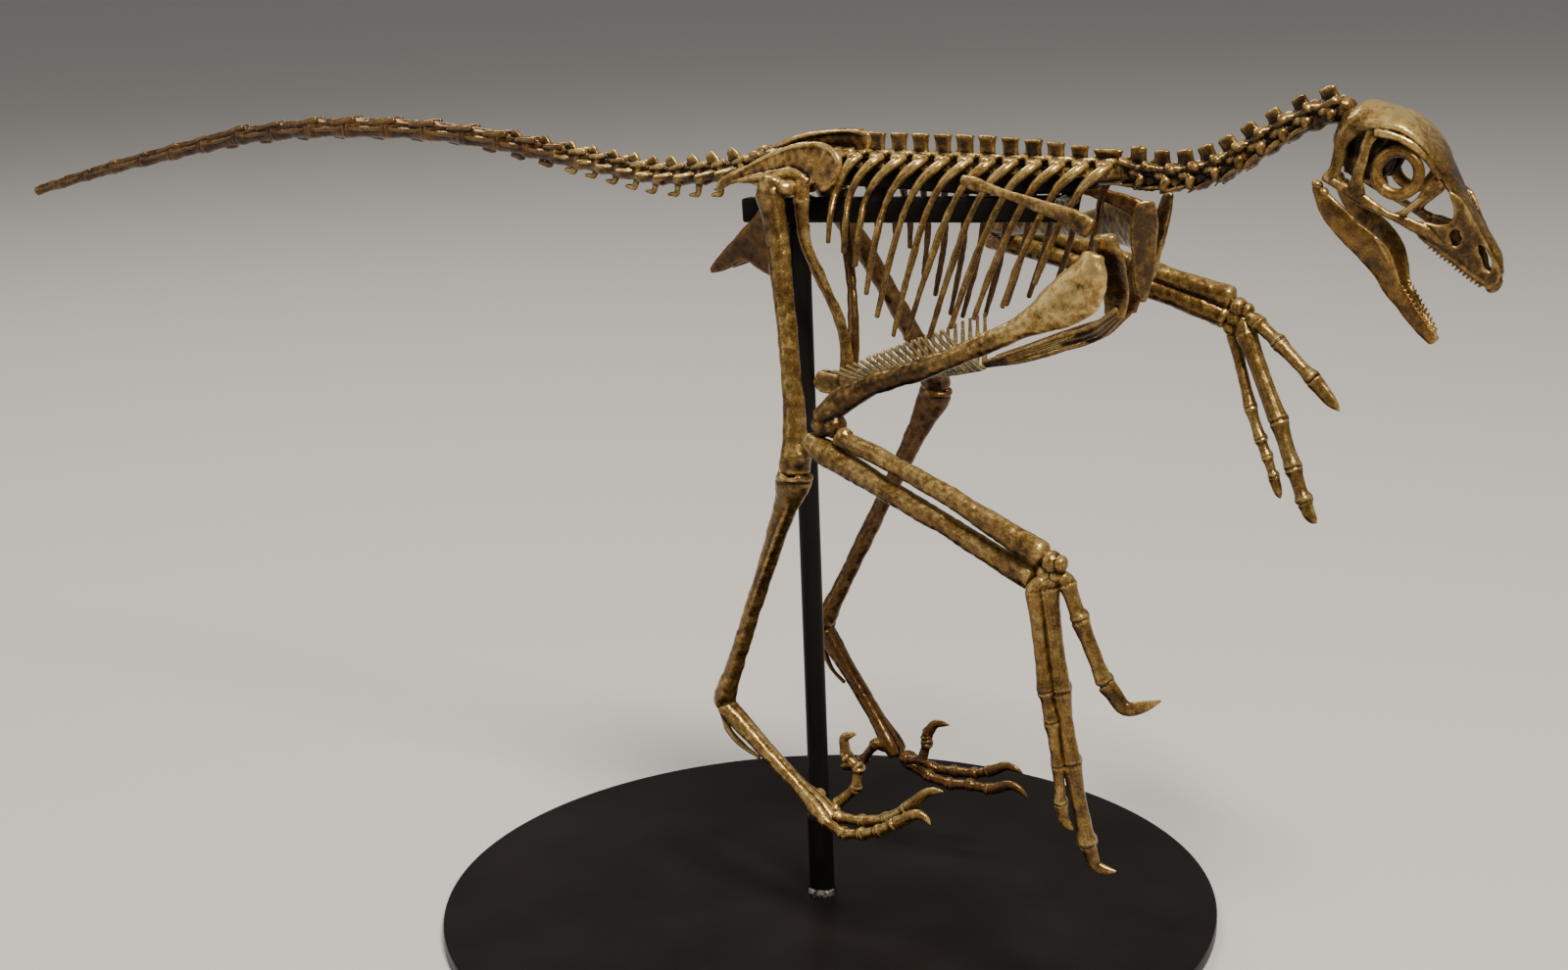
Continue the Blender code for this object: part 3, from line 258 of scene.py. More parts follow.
def along(points, count):
    """Return count points spread evenly in length over a polyline."""
    points = [Vector(p) for p in points]
    lengths = [0.0]
    for a, b in zip(points, points[1:]):
        lengths.append(lengths[-1] + (b - a).length)
    result = []
    for k in range(count):
        target = lengths[-1] * k / (count - 1)
        i = max(j for j in range(len(points) - 1) if lengths[j] <= target + 1e-9)
        t = (target - lengths[i]) / (lengths[i + 1] - lengths[i])
        result.append(points[i].lerp(points[i + 1], t))
    return result


def midline(path):
    return [(x, 0.0, z) for x, z in path]


class Sculpt:
    """Collects overlapping closed shapes in millimetres and welds them into one skin."""

    def __init__(self, name, frame=None):
        self.name = name
        self.frame = np.array(frame or Matrix())
        self.verts = []
        self.faces = []
        self.count = 0

    def add(self, verts, faces):
        self.verts.append(np.asarray(verts, float))
        self.faces += [[i + self.count for i in face] for face in faces]
        self.count += len(verts)

    def tube(self, path, sizes, across=(0.0, 1.0, 0.0), sides=14, steps=5, level=False, square=2.0,
             blunt=0.5):
        """Sweep an ellipse, or a squarer section, with rounded ends. sizes: (half width, half height)."""
        rows = [(*p, *(s if isinstance(s, tuple) else (s, s))) for p, s in zip(path, sizes)]
        rows = smooth_rows(rows, steps)
        sizes = np.maximum(rows[:, 3:], 0.05)
        centres = rows[:, :3]
        tangents = np.gradient(centres, axis=0)
        tangents /= np.linalg.norm(tangents, axis=1)[:, None]
        if level:
            tangents[:] = (1.0, 0.0, 0.0)
        turns = np.radians((80.0, 55.0, 28.0))[:, None]
        reach = blunt * sizes.mean(axis=1)
        head = centres[0] - tangents[0] * reach[0] * np.sin(turns)
        tail = centres[-1] + tangents[-1] * reach[-1] * np.sin(turns[::-1])
        centres = np.vstack((head, centres, tail))
        sizes = np.vstack((sizes[0] * np.cos(turns), sizes, sizes[-1] * np.cos(turns[::-1])))
        tangents = np.vstack((np.repeat(tangents[:1], 3, 0), tangents, np.repeat(tangents[-1:], 3, 0)))
        width_way = np.asarray(across, float)[None, :]
        width_way = width_way - tangents * (tangents * width_way).sum(axis=1)[:, None]
        width_way /= np.linalg.norm(width_way, axis=1)[:, None]
        height_way = np.cross(tangents, width_way)
        angles = 2.0 * np.pi * np.arange(sides) / sides
        c = np.sign(np.cos(angles)) * np.abs(np.cos(angles)) ** (2.0 / square)
        s = np.sign(np.sin(angles)) * np.abs(np.sin(angles)) ** (2.0 / square)
        rings = (centres[:, None, :] + width_way[:, None, :] * (sizes[:, :1] * c)[:, :, None]
                 + height_way[:, None, :] * (sizes[:, 1:] * s)[:, :, None])
        count = len(centres)
        faces = [list(range(sides))[::-1], [(count - 1) * sides + k for k in range(sides)]]
        for i in range(count - 1):
            for k in range(sides):
                n = (k + 1) % sides
                faces.append([i * sides + k, i * sides + n, (i + 1) * sides + n, (i + 1) * sides + k])
        self.add(rings.reshape(-1, 3), faces)

    def ball(self, centre, radii):
        radii = radii if isinstance(radii, tuple) else (radii,) * 3
        self.add(BALL[0] * radii + np.asarray(centre, float), BALL[1])

    def ring(self, centre, spoke, thick, deep, turns=40, sides=12):
        """A doughnut that stands in the XZ plane."""
        a = 2.0 * np.pi * np.arange(turns) / turns
        b = 2.0 * np.pi * np.arange(sides) / sides
        reach = spoke + thick * np.cos(b)[None, :]
        points = np.stack((reach * np.cos(a)[:, None], np.broadcast_to(deep * np.sin(b), (turns, sides)),
                           reach * np.sin(a)[:, None]), axis=2) + np.asarray(centre, float)
        faces = []
        for i in range(turns):
            for k in range(sides):
                j, n = (i + 1) % turns, (k + 1) % sides
                faces.append([i * sides + k, i * sides + n, j * sides + n, j * sides + k])
        self.add(points.reshape(-1, 3), faces)

    def plate(self, outline, thickness, place, holes=(), edge=0.25, steps=6):
        """A flat plate with a smooth outline and rounded edges, in its own XY plane put at place."""
        curve = bpy.data.curves.new(self.name + "_outline", "CURVE")
        curve.dimensions = "2D"
        curve.fill_mode = "BOTH"
        curve.extrude = thickness / 2 - edge
        curve.bevel_depth = edge
        curve.bevel_resolution = 2
        curve.offset = -edge
        for loop in (outline, *holes):
            closed = [(x, y, 0.0) for x, y in (*loop[-2:], *loop, *loop[:2])]
            points = smooth_rows(closed, steps)[2 * steps:-2 * steps]
            spline = curve.splines.new("POLY")
            spline.points.add(len(points) - 2)
            for point, co in zip(spline.points, points[:-1]):
                point.co = (co[0], co[1], 0.0, 1.0)
            spline.use_cyclic_u = True
        holder = bpy.data.objects.new(self.name + "_outline", curve)
        mesh = bpy.data.meshes.new_from_object(holder)
        verts = np.array([(place @ v.co)[:] for v in mesh.vertices])
        faces = [list(p.vertices) for p in mesh.polygons]
        bpy.data.objects.remove(holder, do_unlink=True)
        bpy.data.curves.remove(curve)
        bpy.data.meshes.remove(mesh)
        self.add(verts, faces)

    def weld(self, voxel, material, nodes, settle=2, lumps=0.05, light_and_tone=None):
        """Join the shapes, soften the joins, add small lumps and hand the piece to the frame."""
        mesh = bpy.data.meshes.new(self.name + "_shell")
        mesh.from_pydata(np.vstack(self.verts).tolist(), [], self.faces)
        shell = bpy.data.objects.new(self.name + "_shell", mesh)
        bpy.context.scene.collection.objects.link(shell)
        remesh = shell.modifiers.new("weld", "REMESH")
        remesh.mode = "VOXEL"
        remesh.voxel_size = voxel
        soften = shell.modifiers.new("soften", "SMOOTH")
        soften.factor = 0.5
        soften.iterations = settle
        graph = bpy.context.evaluated_depsgraph_get()
        skin = bpy.data.meshes.new_from_object(shell.evaluated_get(graph))
        bpy.data.objects.remove(shell, do_unlink=True)
        bpy.data.meshes.remove(mesh)
        finish_skin(skin, self.frame, lumps, voxel, light_and_tone)
        piece = put_in_scene(self.name, skin, material)
        lighten(piece)
        hand_over(piece, nodes)


def mirrored(side, path):
    """The path on the chosen side of the midline."""
    return [(x, side * y, z) for x, y, z in path]


def put_in_scene(name, mesh, material):
    mesh.materials.clear()
    mesh.materials.append(material)
    piece = bpy.data.objects.new(name, mesh)
    bpy.context.scene.collection.objects.link(piece)
    return piece


def hand_over(piece, nodes):
    """Hide the solids the piece stands for, and let it ride on the one rigid body."""
    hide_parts(*nodes)
    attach(piece, "root")


def lighten(piece):
    """Merge the smallest triangles where the skin is nearly flat, so that the model stays handy."""
    merge = piece.modifiers.new("lighten", "DECIMATE")
    merge.ratio = KEPT_TRIANGLES
    graph = bpy.context.evaluated_depsgraph_get()
    light = bpy.data.meshes.new_from_object(piece.evaluated_get(graph))
    dense = piece.data
    piece.modifiers.clear()
    piece.data = light
    bpy.data.meshes.remove(dense)


def lump_field(points):
    """A soft, repeatable unevenness between about -1 and 1, made of crossed waves."""
    rng = np.random.default_rng(LUMP_SEED)
    total = np.zeros(len(points))
    for wave in LUMP_WAVES:
        for _ in range(3):
            way = rng.normal(size=3)
            way /= np.linalg.norm(way)
            total += np.sin(points @ way * wave + rng.uniform(0.0, 6.28)) / (wave * 3.2)
    return total


def spread(values, edges, count, rounds):
    """Average each vertex with its neighbours, rounds times."""
    ends = np.concatenate((edges[:, 0], edges[:, 1]))
    others = np.concatenate((edges[:, 1], edges[:, 0]))
    degree = np.maximum(np.bincount(ends, minlength=count), 1)
    for _ in range(rounds):
        near = np.stack([np.bincount(ends, weights=values[others, k], minlength=count)
                         for k in range(values.shape[1])], axis=1)
        values = 0.4 * values + 0.6 * near / degree[:, None]
    return values


def read_vectors(items, key):
    values = np.empty(len(items) * 3)
    items.foreach_get(key, values)
    return values.reshape(-1, 3)


def store(skin, name, values):
    attribute = skin.attributes.new(name, "FLOAT", "POINT")
    attribute.data.foreach_set("value", values.astype(np.float32))


def finish_skin(skin, frame, lumps, voxel, light_and_tone):
    """Place the skin, raise small lumps, and store how far each point stands proud and its painted light
    and tone.
    """
    count = len(skin.vertices)
    normals = read_vectors(skin.vertices, "normal")
    points = read_vectors(skin.vertices, "co")
    points = points + normals * (lump_field(points) * lumps + SWELL * voxel)[:, None]
    edges = np.empty(len(skin.edges) * 2, dtype=np.int64)
    skin.edges.foreach_get("vertices", edges)
    edges = edges.reshape(-1, 2)
    fine = ((points - spread(points, edges, count, FINE_ROUNDS)) * normals).sum(axis=1)
    broad = ((points - spread(points, edges, count, BROAD_ROUNDS)) * normals).sum(axis=1)
    proud = fine / (FINE_RELIEF * voxel) + broad / (BROAD_RELIEF * voxel)
    store(skin, "proud", spread(np.clip(proud, -MOST_PROUD, MOST_PROUD)[:, None], edges, count, 1)[:, 0])
    # painted highlight on faces turned up and painted shade on faces turned down, then the piece's own
    # shift
    light_and_tone_level = TOP_PAINTED_LIGHT * (normals @ frame[2, :3])
    if light_and_tone:
        light_and_tone_level = light_and_tone_level + light_and_tone(points)
    store(skin, "light_and_tone", light_and_tone_level)
    placed = points @ frame[:3, :3].T + frame[:3, 3]
    skin.vertices.foreach_set("co", (placed * MM).ravel())
    skin.shade_smooth()
    skin.update()


# ---- materials ----
def add_node(tree, kind, **settings):
    node = tree.nodes.new(kind)
    for key, value in settings.items():
        setattr(node, key, value)
    return node


def connect(tree, socket, value):
    """Feed a socket from a number, a colour or another node."""
    if isinstance(value, (int, float)):
        socket.default_value = value
    elif isinstance(value, tuple):
        socket.default_value = (*value, 1.0)
    else:
        tree.links.new(value, socket)


def noise_node(tree, coords, scale, detail, rough=0.55):
    node = add_node(tree, "ShaderNodeTexNoise")
    node.inputs["Scale"].default_value = scale
    node.inputs["Detail"].default_value = detail
    node.inputs["Roughness"].default_value = rough
    tree.links.new(coords, node.inputs["Vector"])
    return node.outputs["Fac"]


def stored(tree, name):
    """A value that finish_skin has stored on every point."""
    return add_node(tree, "ShaderNodeAttribute", attribute_name=name).outputs["Fac"]


def maths(tree, kind, a, b, clamp=False):
    node = add_node(tree, "ShaderNodeMath", operation=kind, use_clamp=clamp)
    for socket, value in zip(node.inputs, (a, b)):
        connect(tree, socket, value)
    return node.outputs[0]


def scaled(tree, value, factor, shift=0.0):
    return maths(tree, "ADD", maths(tree, "MULTIPLY", value, factor), shift)


def swing(tree, value, share):
    """Turn noise round one half into a push that goes both ways."""
    return maths(tree, "MULTIPLY", maths(tree, "SUBTRACT", value, 0.5), share)


def above(tree, value, start, factor):
    """Zero below start, then rising by factor up to one."""
    return maths(tree, "MULTIPLY", maths(tree, "SUBTRACT", value, start, clamp=True), factor, clamp=True)


def colour_ramp(tree, value, stops):
    node = add_node(tree, "ShaderNodeValToRGB")
    ramp = node.color_ramp
    while len(ramp.elements) < len(stops):
        ramp.elements.new(0.5)
    for element, (position, colour) in zip(ramp.elements, stops):
        element.position = position
        element.color = (*colour, 1.0)
    tree.links.new(value, node.inputs["Fac"])
    return node.outputs["Color"]


def blend_colours(tree, factor, a, b):
    node = add_node(tree, "ShaderNodeMix", data_type="RGBA")
    for number, value in ((0, factor), (6, a), (7, b)):    # 6 and 7 are the mix node's colour inputs
        connect(tree, node.inputs[number], value)
    return node.outputs[2]


def start_material(name):
    """A new material with its node tree, its shader and the object's own coordinates."""
    material = bpy.data.materials.new(name)
    material.use_nodes = True
    tree = material.node_tree
    coords = add_node(tree, "ShaderNodeTexCoord").outputs["Object"]
    return material, tree, tree.nodes["Principled BSDF"], coords


def add_bump(tree, shader, height, strength, depth):
    bump = add_node(tree, "ShaderNodeBump")
    bump.inputs["Strength"].default_value = strength
    bump.inputs["Distance"].default_value = depth
    tree.links.new(height, bump.inputs["Height"])
    tree.links.new(bump.outputs["Normal"], shader.inputs["Normal"])


def bone_material(name, brown, gold, cream, tint, lightness):
    """Cast bone: dark in its hollows, rubbed golden on its edges, mottled and pitted all over."""
    material, tree, shader, coords = start_material(name)
    proud = stored(tree, "proud")
    patches = noise_node(tree, coords, PATCH_SCALE, 3.0)
    mottle = noise_node(tree, coords, MOTTLE_SCALE, 5.0, 0.62)
    specks = noise_node(tree, coords, SPECK_SCALE, 3.0, 0.6)
    # the stored value adds painted highlight on upward faces and painted shade on downward ones
    level = scaled(tree, proud, PROUD_SHARE, stored(tree, "light_and_tone"))
    for noise, share in ((patches, PATCH_SHARE), (mottle, MOTTLE_SHARE), (specks, SPECK_SHARE)):
        level = maths(tree, "ADD", level, swing(tree, noise, share))
    level = maths(tree, "ADD", level, MIDDLE_LEVEL + lightness, clamp=True)
    colour = colour_ramp(tree, level, ((0.10, DARK), (0.38, brown), (0.64, gold), (0.92, cream)))
    colour = blend_colours(tree, above(tree, patches, 0.5, TINT_STRENGTH), colour, tint)
    hollow = maths(tree, "MINIMUM", maths(tree, "ADD", proud, HOLLOW_DEPTH), 0.0)
    hollow = maths(tree, "MULTIPLY", hollow, -1.0, clamp=True)
    colour = blend_colours(tree, hollow, colour, tuple(HOLLOW_SHADE * c for c in DARK))
    tree.links.new(colour, shader.inputs["Base Color"])
    tree.links.new(scaled(tree, mottle, *BONE_ROUGHNESS), shader.inputs["Roughness"])
    shader.inputs["Metallic"].default_value = BONE_METALLIC
    shader.inputs["Specular IOR Level"].default_value = BONE_SPECULAR
    height = scaled(tree, mottle, 0.7, maths(tree, "MULTIPLY", specks, 0.4))
    add_bump(tree, shader, height, 0.55, 0.0002)
    return material


def paint_material():
    """Satin black paint with fine orange peel, dust and a few worn specks."""
    material, tree, shader, coords = start_material("stand_paint")
    cloud = noise_node(tree, coords, 35.0, 4.0)
    dust = noise_node(tree, coords, 1400.0, 2.0)
    speck = above(tree, dust, 0.76, 9.0)
    colour = colour_ramp(tree, cloud, ((0.35, PAINT_BLACK), (0.7, PAINT_DUSTY)))
    tree.links.new(blend_colours(tree, speck, colour, PAINT_WORN), shader.inputs["Base Color"])
    rough = maths(tree, "ADD", scaled(tree, cloud, 0.16, 0.24), maths(tree, "MULTIPLY", speck, 0.3))
    tree.links.new(rough, shader.inputs["Roughness"])
    shader.inputs["Specular IOR Level"].default_value = 0.05
    add_bump(tree, shader, dust, 0.12, 0.0001)
    return material


def weld_material():
    """Bright, grainy weld metal."""
    material, tree, shader, coords = start_material("weld_metal")
    grain = noise_node(tree, coords, 1500.0, 4.0)
    colour = colour_ramp(tree, grain, ((0.4, WELD_SCALE), (0.62, WELD_BRIGHT)))
    tree.links.new(colour, shader.inputs["Base Color"])
    shader.inputs["Metallic"].default_value = 0.7
    shader.inputs["Roughness"].default_value = 0.42
    add_bump(tree, shader, grain, 0.8, 0.0004)
    return material


def make_bone_materials():
    return {name: bone_material("bone_" + name, *shade) for name, shade in BONE_SHADES.items()}


# ---- stand ----
def make_base(paint):
    """The disc, turned round the Z axis from (radius, height) pairs."""
    r, t, soft = BASE_RADIUS, BASE_THICKNESS, 0.35
    profile = ((0.0, 0.0), (r - soft, 0.0), (r - 0.1, 0.1), (r, soft), (r, t - soft), (r - 0.1, t - 0.1),
               (r - soft, t), (r - 1.2, t), (r * 0.5, t), (0.0, t))
    bm = bmesh.new()
    edge = [bm.verts.new((reach * MM, 0.0, z * MM)) for reach, z in profile]
    for a, b in zip(edge, edge[1:]):
        bm.edges.new((a, b))
    bmesh.ops.spin(bm, geom=bm.verts[:] + bm.edges[:], cent=(0, 0, 0), axis=(0, 0, 1), angle=2 * math.pi,
                   steps=192, use_merge=True)
    bmesh.ops.remove_doubles(bm, verts=bm.verts, dist=1e-7)
    bmesh.ops.recalc_face_normals(bm, faces=bm.faces)
    mesh = bpy.data.meshes.new("base_disc")
    bm.to_mesh(mesh)
    bm.free()
    mesh.shade_smooth()
    hand_over(put_in_scene("base_disc", mesh, paint), ["stand_base"])


def rod_point(height):
    foot = Vector((ROD_FOOT_X, 0.0, BASE_THICKNESS))
    top = Vector(ROD_TOP)
    return foot.lerp(top, (height - foot.z) / (top.z - foot.z))


def make_rod(paint, weld):
    """The rod with its sleeve and collar, and the weld bead at its foot."""
    rod = Sculpt("support_rod")
    low, high = rod_point(3.2), rod_point(ROD_SLEEVE_TOP)
    rod.tube((low, high), (ROD_SLEEVE_RADIUS,) * 2, sides=32, steps=4, blunt=0.05)
    start = high - Vector((0, 0, 0.6))
    rod.tube((start, Vector(ROD_TOP)), (ROD_RADIUS,) * 2, sides=32, steps=12, blunt=0.05)
    rod.tube((rod_point(2.6), rod_point(3.9)), (3.0, 2.4), sides=32, steps=4, blunt=0.05)
    rod.weld(0.3, paint, ["stand_rod"], lumps=0.0)
    bead = Sculpt("weld_bead")
    for k in range(9):
        angle = math.radians(-128.0 + 15.0 * k)
        reach = ROD_SLEEVE_RADIUS + 0.2
        size = 0.85 - 0.09 * abs(k - 4)
        bead.ball((ROD_FOOT_X + reach * math.cos(angle), reach * math.sin(angle), BASE_THICKNESS + 0.35),
                  (size, size, 0.6 + 0.5 * size))
    bead.weld(0.16, weld, ["stand_rod"], lumps=0.10)


def make_bars(paint, weld):
    """The flat bar with its two studs, the thin strip under the spine, and a weld between them."""
    bar = Sculpt("lower_bar")
    bar.tube(midline(((-14.4, 138.5), (14.0, 139.8), (49.6, 141.6))), ((1.6, 2.2),) * 3, sides=32,
             square=9.0, blunt=0.05)
    for x in (13.8, 51.0):
        bar.tube(((x, 0, 140.0), (x, 0, 144.6)), ((1.1, 1.3),) * 2, square=6.0, sides=20, blunt=0.1)
    bar.weld(0.28, paint, ["stand_bar"], lumps=0.03)
    strip = Sculpt("spine_strip")
    path = ((-13.8, 145.5), (-6.0, 146.0), (6.0, 146.3), (45.0, 146.3), (51.0, 146.2), (56.0, 146.2))
    heights = (1.4, 2.0, 2.2, 2.2, 1.5, 0.7)
    strip.tube(midline(path), [(2.0, h) for h in heights], sides=28, square=5.0, blunt=0.2)
    strip.weld(0.28, paint, ["stand_spine_strip"], lumps=0.08)
    blob = Sculpt("bar_weld")
    blob.ball((51.0, -1.4, 143.2), (1.5, 0.8, 1.0))
    blob.ball((49.6, -1.5, 142.9), (0.9, 0.6, 0.7))
    blob.ball((52.2, -1.2, 143.4), (0.8, 0.6, 0.6))
    blob.weld(0.14, weld, ["stand_bar"], lumps=0.12)


# ---- trunk ----
def rib_top_x(i):
    return FIRST_RIB_X + VERTEBRA_PITCH * i


def spine_height(x):
    """Height of the spine tips, which sink a little toward the neck."""
    return SPINE_TOP - 0.0026 * max(0.0, x - 32.0) ** 2


def add_spine(bone, x, length, top):
    """One tall square blade with a thicker rough rim."""
    half = length / 2
    bone.tube(((x, 0, ARCH_HEIGHT - 1.0), (x, 0, ARCH_HEIGHT + 0.6), (x, 0, top - 1.1), (x, 0, top - 0.35)),
              ((half * 1.05, 0.95), (half * 0.9, 0.6), (half * 0.95, 0.6), (half * 1.05, 0.85)),
              across=ALONG_X, sides=20, square=4.5, blunt=0.14)


def add_dorsal(bone, x):
    """The arch of one back vertebra: side processes, the joints to its neighbours and the body below."""
    for side in (RIGHT, LEFT):
        bone.tube(((x - 0.1, side * 0.5, ARCH_HEIGHT - 0.5), (x + 0.6, side * 2.4, ARCH_HEIGHT - 0.35),
                   (x + 1.5, side * 4.2, ARCH_HEIGHT - 0.6)),
                  ((1.25, 0.7), (1.05, 0.6), (1.1, 0.8)), across=ALONG_X, sides=12)
        joint_x = x + VERTEBRA_PITCH / 2 - 0.5
        bone.tube(((x + 0.3, side * 1.1, ARCH_HEIGHT - 0.2), (joint_x + 0.8, side * 1.4, ARCH_HEIGHT)),
                  ((0.75, 0.6), (0.85, 0.6)), sides=10)
        bone.tube(((x - 0.6, side * 1.0, ARCH_HEIGHT - 0.1), (x - 1.9, side * 1.25, ARCH_HEIGHT + 0.35)),
                  ((0.7, 0.55), (0.6, 0.45)), sides=10)
    bone.tube(((x - 2.1, 0, ARCH_HEIGHT - 0.5), (x, 0, ARCH_HEIGHT - 0.6), (x + 2.2, 0, ARCH_HEIGHT - 0.5)),
              ((1.6, 0.9), (1.2, 0.8), (1.6, 0.9)), sides=12)


def rib_points(side, i):
    """Points from the rib's joint on the arch, out, down and back to its tip."""
    x, tip_z, tip_out = rib_top_x(i), RIB_TIP_HEIGHTS[i], RIB_TIPS_OUT[i]
    early = min(4.3, RIB_SWEEPS[i])
    late = RIB_SWEEPS[i] - early
    tuck = 0.9 if i == 0 else 0.0
    upper_z = 144.0
    return ((x + 0.5, side * 3.0, 149.7),
            (x - 0.3, side * (4.9 - 0.4 * tuck), 148.8),
            (x - 0.66 * early, side * (6.1 - 0.8 * tuck), 146.4),
            (x - early, side * (6.8 - tuck), upper_z),
            (x - early - 0.5 * late, side * (tip_out - 0.9), (upper_z + tip_z) / 2),
            (x - RIB_SWEEPS[i], side * tip_out, tip_z))


def spine_darkening(points):
    """The flat sides of the spines stay darker than the arches."""
    return -0.10 * np.clip(points[:, 2] - 151.2, 0.0, 1.0)


def rib_painted_light(points):
    """Painted highlight where the ribs meet the arches under the light from above, painted shade lower
    down.
    """
    return np.clip((points[:, 2] - 147.5) * 0.06, -0.2, 0.04)


def make_thorax(materials):
    """The row of back vertebrae, and a cage of ribs on each side."""
    column = Sculpt("back_vertebrae")
    for i in range(RIB_COUNT):
        add_dorsal(column, rib_top_x(i) - SPINE_SETBACK)
    for i in range(1, RIB_COUNT):
        x = rib_top_x(i) - SPINE_SETBACK
        wide = i == RIB_COUNT - 1
        add_spine(column, x + (0.9 if wide else 0.0), 5.0 if wide else 3.1, spine_height(x))
    column.tube(midline(((50.0, 148.6), (54.0, 148.0), (58.0, 147.8), (61.0, 148.4))),
                ((1.8, 0.8), (2.2, 1.4), (2.3, 1.7), (2.0, 1.7)), sides=16)
    column.weld(0.17, materials["plain"], ["thorax_right", "thorax_left"], lumps=0.10, light_and_tone=spine_darkening)
    for side in (RIGHT, LEFT):
        cage = Sculpt("ribs_" + SIDE_NAME[side])
        for i in range(RIB_COUNT):
            points = rib_points(side, i)
            cage.tube(points, RIB_SIZES, across=ALONG_X, sides=12)
            cage.ball(points[1], (0.85, 0.7, 0.8))
            top_x = rib_top_x(i)
            cage.tube((points[1], (top_x - 0.2, side * 3.2, 148.3), (top_x + 0.3, side * 2.3, 147.9)),
                      (0.6, 0.5, 0.7), sides=10)
        shade = materials[SIDE_SHADE[side]]
        cage.weld(0.17, shade, ["thorax_" + SIDE_NAME[side]], lumps=0.07, light_and_tone=rib_painted_light)


def xz_place(y):
    """Stand a plate's XY plane up in XZ at distance y off the midline."""
    return Matrix.Translation((0.0, y, 0.0)) @ Matrix.Rotation(math.pi / 2, 4, "X")


def make_sacrum(materials):
    """The fused hip vertebrae: bodies, a smooth crest over them and short side processes."""
    sacrum = Sculpt("sacrum_block")
    sacrum.tube(midline(((-13.4, 148.0), (-6.0, 149.6), (2.0, 150.1), (8.8, 150.2))),
                ((1.9, 1.0), (2.4, 1.1), (2.4, 1.0), (2.2, 1.0)))
    outline = ((-13.4, 147.4), (8.9, 149.9), (12.0, 150.4), (12.3, 153.4), (10.4, 154.0), (4.4, 154.0),
               (-0.7, 153.2), (-6.8, 151.0), (-13.4, 148.3))
    sacrum.plate(outline, 1.9, xz_place(0.0), edge=0.6)
    crest = ((-13.2, 148.0), (-6.8, 150.6), (-0.7, 152.8), (4.4, 153.6), (10.4, 153.6), (12.0, 153.2))
    sacrum.tube(midline(crest), ((0.9, 0.5), (1.2, 0.6), (1.35, 0.6), (1.35, 0.55), (1.2, 0.5), (1.0, 0.5)),
                sides=16)
    for k in range(5):
        x = -9.6 + 4.25 * k
        for side in (RIGHT, LEFT):
            sacrum.tube(((x, side * 0.6, 149.3 + 0.12 * k), (x - 0.1, side * 4.4, 149.3 + 0.1 * k)),
                        ((1.0, 0.6), (1.2, 0.75)), across=ALONG_X)
        sacrum.ball((x, 0.0, 149.9 + 0.15 * k), (1.4, 1.6, 0.9))
    sacrum.weld(0.18, materials["plain"], ["sacrum"], lumps=0.12)


# ---- neck and tail ----
def add_cervical(neck, a, b, number):
    """One neck vertebra: waisted body, four articular arms, side knobs, spine and thin ribs."""
    forward = (b - a).normalized()
    upward = Vector((-forward.z, 0.0, forward.x))
    length = (b - a).length
    depth = 1.0 - 0.06 * (number - 1)

    def tube(path, sizes, **form):
        """A tube through places given as (share of the length, side, height)."""
        places = [a + forward * (along_it * length) + Vector((0.0, out, 0.0)) + upward * up
                  for along_it, out, up in path]
        neck.tube(places, sizes, **form)

    tube(((0.02, 0, -0.4 * depth), (0.3, 0, -0.2 * depth), (0.6, 0, -0.2 * depth), (0.98, 0, -0.4 * depth)),
         ((2.2, 2.4), (1.9, 2.0), (1.9, 2.0), (2.2, 2.4)), sides=14)
    tube(((0.15, 0, 1.1), (0.5, 0, 1.2), (0.9, 0, 1.2)), ((1.8, 0.9), (1.6, 0.95), (1.8, 0.85)), sides=12)
    rise = 4.6 - 0.06 * number
    spine_at = 0.4 + 0.04 * number
    tube(((spine_at, 0, 0.8), (spine_at - 0.03, 0, rise - 1.4), (spine_at - 0.05, 0, rise - 0.4)),
         ((0.95, 1.8), (0.7, 1.35), (0.75, 1.35)), sides=16, square=2.8, blunt=0.3)
    for side in (RIGHT, LEFT):
        tube(((0.45, side * 1.2, 0.9), (0.85, side * 2.0, 1.1), (1.12, side * 2.4, 1.4)),
             ((0.9, 0.8), (0.9, 0.75), (1.0, 0.75)), sides=10)
        tube(((0.5, side * 1.1, 1.0), (0.2, side * 1.9, 1.4), (-0.1, side * 2.3, 1.8)),
             ((0.9, 0.75), (0.85, 0.7), (1.0, 0.75)), sides=10)
        tube(((0.85, side * 1.0, -0.2), (0.8, side * 2.4, -0.6 * depth), (0.7, side * 2.5, -2.0 * depth)),
             ((0.9, 0.95), (0.9, 0.9), (0.7, 0.6)), sides=10)
        tube(((0.25, side * 0.9, 0.2), (0.45, side * 2.1, 0.1), (0.75, side * 2.3, 0.0)),
             ((0.7, 0.8), (0.7, 0.7), (0.75, 0.75)), sides=8)
        if number < NECK_COUNT:
            tube(((0.8, side * 2.0, -1.8 * depth), (0.2, side * 2.2, -2.1 * depth),
                  (-0.5, side * 2.2, -2.3)),
                 ((0.5, 0.42), (0.38, 0.32), (0.24, 0.2)), sides=8)
        else:
            neck.ball(b + forward * 0.9 + Vector((0.0, side * 1.1, -0.2)), (1.7, 1.6, 1.7))


def neck_painted_shade(points):
    """Painted shade: darker than the back, as the neck lies in shadow."""
    return np.full(len(points), -0.13)


def make_neck(materials):
    joints = along(midline(NECK_PATH), NECK_COUNT + 1)
    for name, first, last in (("neck_base", 0, 5), ("neck_front", 5, NECK_COUNT)):
        neck = Sculpt(name + "_bones")
        for number in range(first, last):
            add_cervical(neck, joints[number], joints[number + 1], number + 1)
        neck.weld(0.15, materials["plain"], [name], lumps=0.10, light_and_tone=neck_painted_shade)


def caudal_length(k):
    """Short vertebrae at the tail's root, long ones in the middle, shorter ones at the end."""
    grow = min(1.0, max(0.0, (k - 7) / 6.0))
    shrink = max(0.0, (k - 18) / 7.0)
    return 4.6 + 5.4 * grow - 2.4 * shrink


